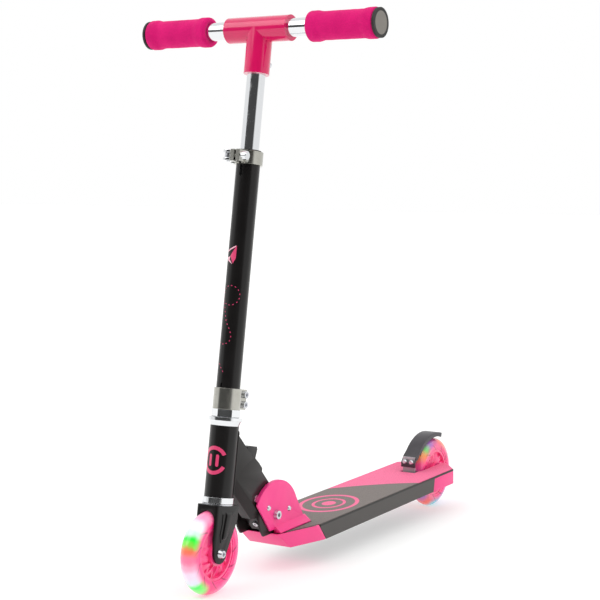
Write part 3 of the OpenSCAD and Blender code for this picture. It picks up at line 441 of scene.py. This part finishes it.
def tinted_polycarbonate():
    """Injection-moulded pink polycarbonate, lit from behind. Glassy, with a soft flowing change of tint."""
    material, tree, place = start("tinted_polycarbonate")
    flow = put(tree, "ShaderNodeTexNoise", {"Vector": place, "Scale": 90.0, "Detail": 3.0, "Distortion": 0.8})
    tint = put(tree, "ShaderNodeMix", {"Factor": flow.outputs["Fac"], "A": linear("#E00A62"),
                                       "B": linear("#FF5C9C")}, data_type="RGBA")
    arris = put(tree, "ShaderNodeBevel", {"Radius": 0.4 * MM}, samples=4)
    bump = put(tree, "ShaderNodeBump", {"Strength": 0.1, "Distance": 0.1 * MM, "Height": flow.outputs["Fac"],
                                        "Normal": arris.outputs["Normal"]})
    body = put(tree, "ShaderNodeBsdfPrincipled", {
        "Base Color": tint.outputs["Result"], "Roughness": 0.14, "IOR": 1.58, "Coat Weight": 0.5,
        "Coat Roughness": 0.05, "Emission Color": tint.outputs["Result"], "Emission Strength": 0.12,
        "Normal": bump.outputs["Normal"]})
    return close(material, tree, body)


def lamp_epoxy():
    """Clear epoxy lamp bodies, lit. White-green core that fades to its edge by a soft cloud in the resin."""
    material, tree, place = start("lit_lamp_epoxy")
    cloud = put(tree, "ShaderNodeTexNoise", {"Vector": place, "Scale": 260.0, "Detail": 2.0})
    tint = put(tree, "ShaderNodeMix", {"Factor": cloud.outputs["Fac"], "A": linear("#6CFF7E"),
                                       "B": linear("#FFFFFF")}, data_type="RGBA")
    lamp = put(tree, "ShaderNodeBsdfPrincipled", {"Base Color": tint.outputs["Result"], "Roughness": 0.1,
                                                  "IOR": 1.54, "Emission Color": tint.outputs["Result"],
                                                  "Emission Strength": 1.6})
    return close(material, tree, lamp)


def sintered_ferrite():
    """Sintered ferrite magnet. Dull charcoal with a coarse grain about 0.5 mm across."""
    material, tree, place = start("sintered_ferrite")
    grain = put(tree, "ShaderNodeTexVoronoi", {"Vector": place, "Scale": 2000.0})
    tint = put(tree, "ShaderNodeMix", {"Factor": grain.outputs["Distance"], "A": linear("#2B2B2D"),
                                       "B": linear("#4A4A4C")}, data_type="RGBA")
    block = put(tree, "ShaderNodeBsdfPrincipled", {"Base Color": tint.outputs["Result"], "Roughness": 0.55,
                                                   "IOR": 1.6})
    return close(material, tree, block)


def screen_print(name, colour):
    """Screen-printed ink under clear lacquer. Even colour with slight mesh marks about 0.4 mm apart."""
    material, tree, place = start(name)
    mesh = put(tree, "ShaderNodeTexNoise", {"Vector": place, "Scale": 2500.0, "Detail": 1.0})
    tint = put(tree, "ShaderNodeMix", {"Factor": mesh.outputs["Fac"], "A": shade(colour, 0.9),
                                       "B": shade(colour, 1.08)}, data_type="RGBA")
    ink = put(tree, "ShaderNodeBsdfPrincipled", {"Base Color": tint.outputs["Result"], "Roughness": 0.4, "IOR": 1.5,
                                                 "Coat Weight": 0.5, "Coat Roughness": 0.1})
    return close(material, tree, ink)


# ---------- pieces ----------
def column_point(ahead, left, up):
    """A point from the column's own scale: ahead of its axis, to the left, and up along it."""
    return FOOT + AHEAD * ahead + Vector((0, left, 0)) + COLUMN * up


def piece(name, points, faces, material, body, smooth=True):
    mesh = bpy.data.meshes.new(name)
    mesh.from_pydata([tuple(p) for p in points], [], faces)
    mesh.validate()
    made = bpy.data.objects.new(name, mesh)
    bpy.context.scene.collection.objects.link(made)
    if smooth:
        mesh.shade_smooth()
    mesh.materials.append(material)
    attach(made, body)
    return made


def apply_all(made):
    """Turns the piece's modifiers into plain mesh."""
    flat = bpy.data.meshes.new_from_object(made.evaluated_get(bpy.context.evaluated_depsgraph_get()))
    made.modifiers.clear()
    made.data = flat


def eased(source, material, width, angle=24, segments=3):
    """A copy of a sharp CAD piece with its arrises rounded, standing for it."""
    origin = frame["nodes"][source]
    mesh = bpy.data.meshes.new(source + "_eased")
    shell = bmesh.new()
    shell.from_mesh(origin.data)
    bmesh.ops.remove_doubles(shell, verts=shell.verts, dist=2e-6)
    bmesh.ops.dissolve_limit(shell, angle_limit=math.radians(0.6), verts=shell.verts, edges=shell.edges)
    shell.to_mesh(mesh)
    shell.free()
    mesh.materials.clear()
    made = bpy.data.objects.new(source + "_eased", mesh)
    bpy.context.scene.collection.objects.link(made)
    bevel = made.modifiers.new("arris", "BEVEL")
    bevel.width, bevel.segments, bevel.limit_method = width, segments, "ANGLE"
    bevel.angle_limit, bevel.use_clamp_overlap, bevel.miter_outer = math.radians(angle), True, "MITER_ARC"
    apply_all(made)
    made.data.shade_smooth()
    made.data.set_sharp_from_angle(angle=math.radians(28))
    made.data.materials.clear()
    made.data.materials.append(material)
    for face in made.data.polygons:
        face.material_index = 0
    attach(made, origin["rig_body"])
    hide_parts(source)
    return made


def lathe(name, profile, centre, axis, material, body, steps=96, ripple=0.0):
    """Turns a closed (radius, height) profile round an axis."""
    side = axis.orthogonal().normalized()
    other = axis.cross(side)
    points, faces, rows = [], [], len(profile)
    for i in range(steps):
        a = 2 * math.pi * i / steps
        out = side * math.cos(a) + other * math.sin(a)
        for radius, height in profile:
            at = centre + out * radius + axis * height
            points.append(at + out * ripple * noise.noise(at * 160))
    for i in range(steps):
        for k in range(rows):
            a, b = i * rows + k, i * rows + (k + 1) % rows
            c, d = ((i + 1) % steps) * rows + (k + 1) % rows, ((i + 1) % steps) * rows + k
            faces.append((a, b, c, d))
    return piece(name, points, faces, material, body)


def wrapped(name, loops, radius, material, body, mid_angle=0.0):
    """Thin print on a tube of the column: each loop is an outline of (arc, up) in metres, laid round the tube."""
    points, faces = [], []
    for loop in loops:
        flat = bmesh.new()
        ring = [flat.verts.new((u, v, 0)) for u, v in loop]
        flat.faces.new(ring)
        flat.normal_update()
        bmesh.ops.triangulate(flat, faces=flat.faces)
        longest = 1
        while longest:
            split = [e for e in flat.edges if e.calc_length() > 2.5 * MM]
            longest = len(split)
            if split:
                bmesh.ops.subdivide_edges(flat, edges=split, cuts=1)
                bmesh.ops.triangulate(flat, faces=flat.faces)
        flat.verts.index_update()
        first = len(points)
        for v in flat.verts:
            a = mid_angle + v.co.x / radius
            points.append(column_point(radius * math.cos(a), radius * math.sin(a), v.co.y))
        faces += [tuple(first + v.index for v in f.verts) for f in flat.faces]
        flat.free()
    return piece(name, points, faces, material, body)


def ring_loop(radius, half, start_deg, end_deg, mid, steps=48):
    """Outline of a part ring about mid, as (arc, up) points."""
    outer, inner = [], []
    for i in range(steps + 1):
        a = math.radians(start_deg + (end_deg - start_deg) * i / steps)
        outer.append((mid[0] + (radius + half) * math.cos(a), mid[1] + (radius + half) * math.sin(a)))
        inner.append((mid[0] + (radius - half) * math.cos(a), mid[1] + (radius - half) * math.sin(a)))
    return outer + inner[::-1]


def paint(names, material):
    """Gives CAD nodes their finish."""
    for name in names:
        mesh = frame["nodes"][name].data
        mesh.materials.clear()
        mesh.materials.append(material)
        for face in mesh.polygons:
            face.material_index = 0


FINISHES = {}


def finish(name):
    """One of the shared finishes, made once."""
    colours = bpy.context.scene.scooter_colours
    makers = {
        "black": lambda: enamel_on_steel("black_enamel", colours.black[:], 0.3),
        "neck": lambda: enamel_on_steel("black_enamel_folded", linear("#191615"), 0.4, 0.2),
        "tee": lambda: enamel_on_steel("pink_enamel", colours.tee_pink[:], 0.2, 0.08, 0.9),
        "bracket": lambda: powder_coat("pink_powder_coat", colours.frame_pink[:]),
        "cover": lambda: moulded_abs("pink_moulded_abs", colours.cover_pink[:], 0.34),
        "deck": lambda: deck_coat(colours.deck_grey[:]),
        "tape": lambda: gritted_tape(colours.tape_grey[:], colours.tape_pink[:]),
        "chrome": polished_chrome,
        "zinc": zinc_plate,
        "alloy": tumbled_alloy,
        "spring": rolled_spring_steel,
        "foam": lambda: eva_foam(colours.grip_pink[:]),
        "rubber": moulded_rubber,
        "core": tinted_polycarbonate,
        "lamp": lamp_epoxy,
        "ferrite": sintered_ferrite,
        "fender": lambda: moulded_polypropylene("black_polypropylene", linear("#2E2B30"), 0.36),
        "nylon": lambda: moulded_polypropylene("black_nylon", linear("#121112"), 0.48),
        "ink": lambda: screen_print("pink_print", linear("#DB3A6E")),
        "pale_ink": lambda: screen_print("pale_print", linear("#F6B7C8")),
    }
    if name not in FINISHES:
        FINISHES[name] = makers[name]()
    return FINISHES[name]


class SCOOTER_OT_deck(bpy.types.Operator):
    """Deck tray, grip tape and its brackets"""
    bl_idname = "scooter.deck"
    bl_label = "Deck and brackets"

    def execute(self, context):
        edge = context.scene.scooter_sizes.edge_round
        paint(["deck"], finish("deck"))
        paint(["grip_tape"], finish("tape"))
        eased("nose_bracket", finish("bracket"), edge)
        eased("tail_bracket", finish("bracket"), edge)
        paint(["fold_bracket"], finish("neck"))
        paint(["bracket_bolts", "pivot_bolt", "cover_screws", "brake_pin", "brake_spring"], finish("zinc"))
        eased("left_cover", finish("cover"), edge)
        eased("right_cover", finish("cover"), edge)
        return {"FINISHED"}


class SCOOTER_OT_brake(bpy.types.Operator):
    """Fender brake over the rear wheel"""
    bl_idname = "scooter.brake"
    bl_label = "Fender brake"

    def execute(self, context):
        eased("fender", finish("fender"), 1.6 * MM, segments=4)
        paint(["brake_arm"], finish("spring"))
        paint(["fender_screws"], finish("zinc"))
        return {"FINISHED"}


class SCOOTER_OT_neck(bpy.types.Operator):
    """Folding neck, head tube, headset and release lever"""
    bl_idname = "scooter.neck"
    bl_label = "Neck and head tube"

    def execute(self, context):
        eased("neck", finish("neck"), 0.9 * MM)
        paint(["pivot_block", "head_tube"], finish("black"))
        paint(["headset_cups"], finish("chrome"))
        paint(["stop_screw", "lever_pin", "lever_spring", "headset_bearings"], finish("zinc"))
        eased("release_lever", finish("nylon"), 0.8 * MM)
        # weld beads where the neck meets the head tube: overlapping ripples 2.2 mm apart
        for side, label in ((1, "left"), (-1, "right")):
            points, faces, around = [], [], 10
            count = 150
            for i in range(count):
                up = 0.068 + 0.076 * i / (count - 1)
                swell = 0.0010 + 0.00035 * abs(math.sin(math.pi * up / 0.0022))
                swell *= min(1, 0.3 + min(i, count - 1 - i) / 6)
                for k in range(around):
                    a = 2 * math.pi * k / around
                    points.append(column_point(-0.0084 + swell * math.cos(a),
                                               side * (0.0150 + swell * math.sin(a)), up))
            for i in range(count - 1):
                for k in range(around):
                    n = (k + 1) % around
                    faces.append((i * around + k, i * around + n, (i + 1) * around + n, (i + 1) * around + k))
            faces += [tuple(range(around))[::-1], tuple(range((count - 1) * around, count * around))]
            bead = piece("neck_weld_" + label, points, faces, finish("neck"), "neck_body")
        # plain printed mark on the head tube: an open ring round two rounded bars
        r = (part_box("head_tube")[1].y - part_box("head_tube")[0].y) / 2 + 0.12 * MM
        mid = (0.0, 0.1080)
        loops = [ring_loop(0.0146, 0.0022, 28, 332, mid)]
        for shift in (-0.0048, 0.0048):
            bar = [(mid[0] + shift + 0.0020 * math.cos(math.radians(a)),
                    mid[1] + (0.0052 if a < 180 else -0.0052) + 0.0020 * math.sin(math.radians(a)))
                   for a in range(0, 360, 20)]
            loops.append(bar)
        mark = wrapped("head_mark", loops, r, finish("ink"), "neck_body", math.radians(1))
        return {"FINISHED"}


class SCOOTER_OT_fork(bpy.types.Operator):
    """Fork and the clamps on the column"""
    bl_idname = "scooter.fork"
    bl_label = "Fork and clamps"

    def execute(self, context):
        eased("fork", finish("black"), 1.2 * MM, segments=4)
        paint(["headset_races", "clamp_rod", "front_axle", "stem_clamp_bolts"], finish("zinc"))
        paint(["column_nut", "clamp_nut"], finish("chrome"))
        paint(["height_clamp", "stem_clamp"], finish("alloy"))
        eased("clamp_lever", finish("chrome"), 0.8 * MM)
        paint(["top_bush", "guide_plug"], finish("nylon"))
        # pressed rib down each leg
        pressed = frame["nodes"]["fork"]
        skin = BVHTree.FromPolygons([pressed.matrix_world @ v.co for v in pressed.data.vertices],
                                    [tuple(f.vertices) for f in pressed.data.polygons])
        for side, label in ((1, "left"), (-1, "right")):
            points, faces, rows = [], [], 28
            for i in range(rows + 1):
                t = i / rows
                up = 0.016 + (0.048 - 0.016) * t
                mid = 0.0048 - 0.0082 * t
                wide = 0.0036 + 0.0036 * t
                rise = 0.0018 * min(1, t * 10, (1 - t) * 14) ** 0.5
                for across, lift in ((-1, -0.4), (-0.86, 0.8), (-0.7, 1), (0.7, 1), (0.86, 0.8), (1, -0.4)):
                    away = column_point(mid + across * wide, side * 0.06, up)
                    found = skin.ray_cast(away, Vector((0, -side, 0)))[0]
                    if found is None:
                        raise RuntimeError("the fork's leg isn't where the rib goes")
                    points.append(found + Vector((0, side * lift * rise, 0)))
            for i in range(rows):
                for k in range(5):
                    a = i * 6 + k
                    faces.append((a, a + 1, a + 7, a + 6) if side > 0 else (a, a + 6, a + 7, a + 1))
            rib = piece("fork_rib_" + label, points, faces, finish("black"), "steering")
            rib.data.set_sharp_from_angle(angle=math.radians(30))
        return {"FINISHED"}


class SCOOTER_OT_column(bpy.types.Operator):
    """Column tube with its printed dart and dotted trail"""
    bl_idname = "scooter.column"
    bl_label = "Column"

    def execute(self, context):
        paint(["column_tube"], finish("black"))
        radius = (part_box("column_tube")[1].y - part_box("column_tube")[0].y) / 2 + 0.12 * MM
        dart = [(0.0020, 0.3612), (-0.0062, 0.3490), (-0.0015, 0.3398), (0.0020, 0.3465)]
        wing = [(0.0012, 0.3614), (-0.0150, 0.3540), (-0.0146, 0.3526), (0.0006, 0.3594)]
        fold = [[(-0.0140, 0.3466), (-0.0078, 0.3428), (-0.0062, 0.3484)],
                [(-0.0120, 0.3446), (-0.0022, 0.3392), (-0.0062, 0.3440)]]
        # trail: once round a loop below the dart, off in a long curve, and a short last stretch
        pitch = context.scene.scooter_sizes.dot_pitch
        path = [(-0.0008 + 0.0116 * math.sin(math.radians(a)), 0.3023 + 0.0116 * math.cos(math.radians(a)))
                for a in range(-100, 250, 10)]
        path += [(-0.0098, 0.2930), (-0.0080, 0.2880), (-0.0060, 0.2800), (-0.0032, 0.2708), (0.0008, 0.2640),
                 (0.0040, 0.2570), (0.0044, 0.2520), (0.0030, 0.2480), (-0.0010, 0.2452), (-0.0060, 0.2444),
                 (-0.0110, 0.2458), (-0.0139, 0.2480), (-0.0082, 0.2208), (-0.0050, 0.2160), (-0.0013, 0.2114)]
        dots, left = [], 0.0
        for (u0, v0), (u1, v1) in zip(path, path[1:]):
            length = math.hypot(u1 - u0, v1 - v0)
            while left < length and length < 0.015:
                t = left / length
                u, v = u0 + (u1 - u0) * t, v0 + (v1 - v0) * t
                lean = math.atan2(v1 - v0, u1 - u0)
                dash = []
                for k in range(10):
                    a = 2 * math.pi * k / 10
                    du, dv = 0.0010 * math.cos(a), 0.0005 * math.sin(a)
                    dash.append((u + du * math.cos(lean) - dv * math.sin(lean),
                                 v + du * math.sin(lean) + dv * math.cos(lean)))
                dots.append(dash)
                left += pitch
            left = max(0.0, left - length)
        for label, loops, ink in (("dart", [dart], "ink"), ("dart_wing", [wing], "pale_ink"),
                                  ("dart_fold", fold, "pale_ink"), ("trail", dots, "ink")):
            mark = wrapped("column_" + label, loops, radius, finish(ink), "steering", math.radians(8))
        return {"FINISHED"}


class SCOOTER_OT_wheels(bpy.types.Operator):
    """Lit wheels: cast tyres, bladed cores, lamps and bearings"""
    bl_idname = "scooter.wheels"
    bl_label = "Wheels"

    def execute(self, context):
        front = [(-180, "#FF6FA8"), (-110, "#FF7FB2"), (-72, "#F4487F"), (-58, "#8CF27C"), (-46, "#4FF763"),
                 (-36, "#E6E4F2"), (-20, "#EFD9EE"), (-8, "#F7A9C6"), (2, "#F7729B"), (14, "#F07A5C"),
                 (22, "#7FE04A"), (30, "#22F23C"), (40, "#C8F5D8"), (52, "#F8F1F8"), (68, "#F795BC"),
                 (88, "#F25A8E"), (120, "#FF6FA8"), (180, "#FF6FA8")]
        rear = [(-180, "#F77FB0"), (-120, "#A77FD0"), (-90, "#54C7D9"), (-60, "#FF6A5A"), (-30, "#8A7FD6"),
                (-5, "#B77FD0"), (18, "#FF4F96"), (40, "#FF9A4A"), (54, "#6FD86A"), (70, "#B07AC8"),
                (90, "#D0609A"), (108, "#FF6A4C"), (124, "#FF8A54"), (142, "#F7A0B8"), (180, "#F77FB0")]
        for where, hub, glow, power in (("front", FRONT_HUB, front, 0.16), ("rear", REAR_HUB, rear, 0.10)):
            paint([where + "_tyre"], lit_polyurethane(where + "_lit_polyurethane", hub, glow, power))
            paint([where + "_hub"], finish("core"))
            paint([where + "_lights"], finish("lamp"))
            paint([where + "_bearings", where + "_axle"], finish("zinc"))
            paint([where + "_magnet"], finish("ferrite"))
            blades = context.scene.scooter_sizes.blades
            for side, label in ((1, "left"), (-1, "right")):
                points, faces, around, across = [], [], blades * 22, 8
                for layer in (0, 1):
                    for i in range(around):
                        for k in range(across + 1):
                            reach = CORE_IN + (CORE_OUT - CORE_IN) * k / across
                            a = 2 * math.pi * i / around
                            saw = ((a * blades / (2 * math.pi)) % 1.0)
                            lift = 0.0028 * (saw if saw < 0.9 else (1 - saw) * 9)
                            dish = 0.0012 * math.cos(math.pi * (reach - CORE_IN) / (CORE_OUT - CORE_IN))
                            twist = a + BLADE_TWIST * (reach - CORE_IN)
                            y = side * (0.0052 + dish + lift - 0.0012 * layer)
                            points.append(hub + Vector((reach * math.cos(twist), y, reach * math.sin(twist))))
                row, shell = across + 1, around * (across + 1)
                for layer in (0, 1):
                    for i in range(around):
                        n = (i + 1) % around
                        for k in range(across):
                            quad = (layer * shell + i * row + k, layer * shell + i * row + k + 1,
                                    layer * shell + n * row + k + 1, layer * shell + n * row + k)
                            faces.append(quad if (layer == 0) == (side < 0) else quad[::-1])
                for i in range(around):
                    n = (i + 1) % around
                    for k in (0, across):
                        faces.append((i * row + k, n * row + k, shell + n * row + k, shell + i * row + k))
                disc = piece(where + "_core_" + label, points, faces, finish("core"), where + "_wheel")
                disc.data.set_sharp_from_angle(angle=math.radians(35))
        return {"FINISHED"}


class SCOOTER_OT_handlebar(bpy.types.Operator):
    """Sliding tube, tee, handlebars, foam grips and caps"""
    bl_idname = "scooter.handlebar"
    bl_label = "Handlebar"

    def execute(self, context):
        flare = context.scene.scooter_sizes.grip_flare
        paint(["slide_tube", "left_bar", "right_bar"], finish("chrome"))
        paint(["tee"], finish("tee"))
        paint(["tee_screw", "left_button", "right_button"], finish("zinc"))
        paint(["left_cap", "right_cap"], finish("rubber"))
        for side, label in ((1, "left"), (-1, "right")):
            low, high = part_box(label + "_grip")
            near, far = sorted((abs(low.y), abs(high.y)))
            centre = Vector(((low.x + high.x) / 2, 0, (low.z + high.z) / 2))
            outer = (high.x - low.x) / 2
            bore = (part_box(label + "_bar")[1].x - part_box(label + "_bar")[0].x) / 2 + 0.05 * MM
            middle, long = outer - flare, far - near
            profile = [(bore, 0.0003)]
            for i in range(61):
                t = i / 60
                end = min(t, 1 - t) * long
                fall = min(1.0, max(0.0, (end - 0.0100) / 0.0090))
                lip = (1 - fall * fall * (3 - 2 * fall))
                crown = 0.0003 * math.sin(math.pi * t)
                radius = middle + flare * lip + crown
                if end < 0.0032:
                    radius -= 0.0032 * (1 - math.sqrt(max(0.0, 1 - (1 - end / 0.0032) ** 2)))
                profile.append((radius, 0.0002 + (long - 0.0004) * t))
            profile.append((bore, long - 0.0003))
            grip = lathe(label + "_foam_grip", profile, centre + Vector((0, side * near, 0)), Vector((0, side, 0)),
                         finish("foam"), label + "_handlebar", steps=120, ripple=0.00018)
            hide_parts(label + "_grip")
        return {"FINISHED"}


class SCOOTER_OT_stage(bpy.types.Operator):
    """Pale floor, soft studio light and the camera"""
    bl_idname = "scooter.stage"
    bl_label = "Stage"

    def execute(self, context):
        scene = context.scene
        scene.view_settings.view_transform = "Standard"
        floor_material, tree, place = start("lit_opal_acrylic_floor")
        # opal acrylic lit from below, so shadows stay faint; its cloud is too faint to read as a pattern
        cloud = put(tree, "ShaderNodeTexNoise", {"Vector": place, "Scale": 1.5, "Detail": 2.0})
        tint = put(tree, "ShaderNodeMix", {"Factor": cloud.outputs["Fac"], "A": linear("#C4C4C3"),
                                           "B": linear("#C8C8C7")}, data_type="RGBA")
        paper = put(tree, "ShaderNodeBsdfPrincipled", {"Base Color": tint.outputs["Result"], "Roughness": 0.9,
                                                       "Specular IOR Level": 0.1, "Emission Color": (1, 1, 1, 1),
                                                       "Emission Strength": 0.45})
        close(floor_material, tree, paper)
        mesh = bpy.data.meshes.new("floor")
        mesh.from_pydata([(-12, -12, 0), (12, -12, 0), (12, 12, 0), (-12, 12, 0)], [], [(0, 1, 2, 3)])
        mesh.materials.append(floor_material)
        floor = bpy.data.objects.new("floor", mesh)
        scene.collection.objects.link(floor)

        world = bpy.data.worlds.new("studio")
        scene.world = world
        world.use_nodes = True
        sky = world.node_tree
        sky.nodes.clear()
        # a bright tent with a wide dim opening in front of the object, which gives tubes their dark middle band
        way = put(sky, "ShaderNodeTexCoord").outputs["Generated"]
        toward = put(sky, "ShaderNodeVectorMath", {0: way, 1: (0.96, 0.28, 0.0)}, operation="DOT_PRODUCT")
        dim = put(sky, "ShaderNodeMapRange", {"Value": toward.outputs["Value"], "From Min": 0.44, "From Max": 0.64,
                                              "To Min": 0.95, "To Max": 0.07}, interpolation_type="SMOOTHSTEP")
        seen = put(sky, "ShaderNodeLightPath").outputs["Is Camera Ray"]
        level = put(sky, "ShaderNodeMix", {"Factor": seen, "A": dim.outputs["Result"], "B": 1.0}, data_type="FLOAT")
        glow = put(sky, "ShaderNodeBackground", {"Color": (1, 1, 1, 1), "Strength": level.outputs["Result"]})
        put(sky, "ShaderNodeOutputWorld", {"Surface": glow.outputs[0]})

        # three very soft far lights, so that the floor is as bright far off as near by
        for label, aim, spread, power in (
                ("key_light", (-0.95, 0.55, -1.1), 50, 1.05),
                ("fill_light", (0.10, -1.0, -0.9), 60, 0.50),
                ("front_light", (-0.62, -0.38, -1.5), 50, 0.50)):
            light = bpy.data.lights.new(label, "SUN")
            light.angle, light.energy = math.radians(spread), power
            lamp = bpy.data.objects.new(label, light)
            lamp.rotation_euler = Vector(aim).to_track_quat("-Z", "Y").to_euler()
            scene.collection.objects.link(lamp)

        lens = bpy.data.cameras.new("camera")
        lens.sensor_width, lens.lens = 36.0, 89.87
        lens.clip_start, lens.clip_end = 0.05, 60.0
        camera = bpy.data.objects.new("camera", lens)
        yaw, down = math.radians(32.65), math.radians(5.19)
        look = Vector((-math.cos(yaw) * math.cos(down), -math.sin(yaw) * math.cos(down), -math.sin(down)))
        camera.location = (1.6692, 1.0182, 0.5034)
        camera.rotation_euler = look.to_track_quat("-Z", "Y").to_euler()
        scene.collection.objects.link(camera)
        scene.camera = camera
        return {"FINISHED"}


class SCOOTER_PT_panel(bpy.types.Panel):
    """Lists the scooter's operators"""
    bl_label = "Kick scooter"
    bl_idname = "SCOOTER_PT_panel"
    bl_space_type = "VIEW_3D"
    bl_region_type = "UI"
    bl_category = "Scooter"

    def draw(self, context):
        for group in (context.scene.scooter_colours, context.scene.scooter_sizes):
            for key in group.bl_rna.properties.keys():
                if key not in ("rna_type", "name"):
                    self.layout.prop(group, key)
        for operator in OPERATORS:
            self.layout.operator(operator.bl_idname)


OPERATORS = (SCOOTER_OT_stage, SCOOTER_OT_deck, SCOOTER_OT_brake, SCOOTER_OT_neck, SCOOTER_OT_fork,
             SCOOTER_OT_column, SCOOTER_OT_wheels, SCOOTER_OT_handlebar)
CLASSES = (ScooterColours, ScooterSizes) + OPERATORS + (SCOOTER_PT_panel,)


def register():
    for cls in CLASSES:
        bpy.utils.register_class(cls)
    bpy.types.Scene.scooter_colours = bpy.props.PointerProperty(type=ScooterColours)
    bpy.types.Scene.scooter_sizes = bpy.props.PointerProperty(type=ScooterSizes)


def unregister():
    del bpy.types.Scene.scooter_sizes
    del bpy.types.Scene.scooter_colours
    for cls in reversed(CLASSES):
        bpy.utils.unregister_class(cls)


def main():
    register()
    for operator in OPERATORS:
        group, name = operator.bl_idname.split(".")
        getattr(getattr(bpy.ops, group), name)()


if __name__ == "__main__":
    main()
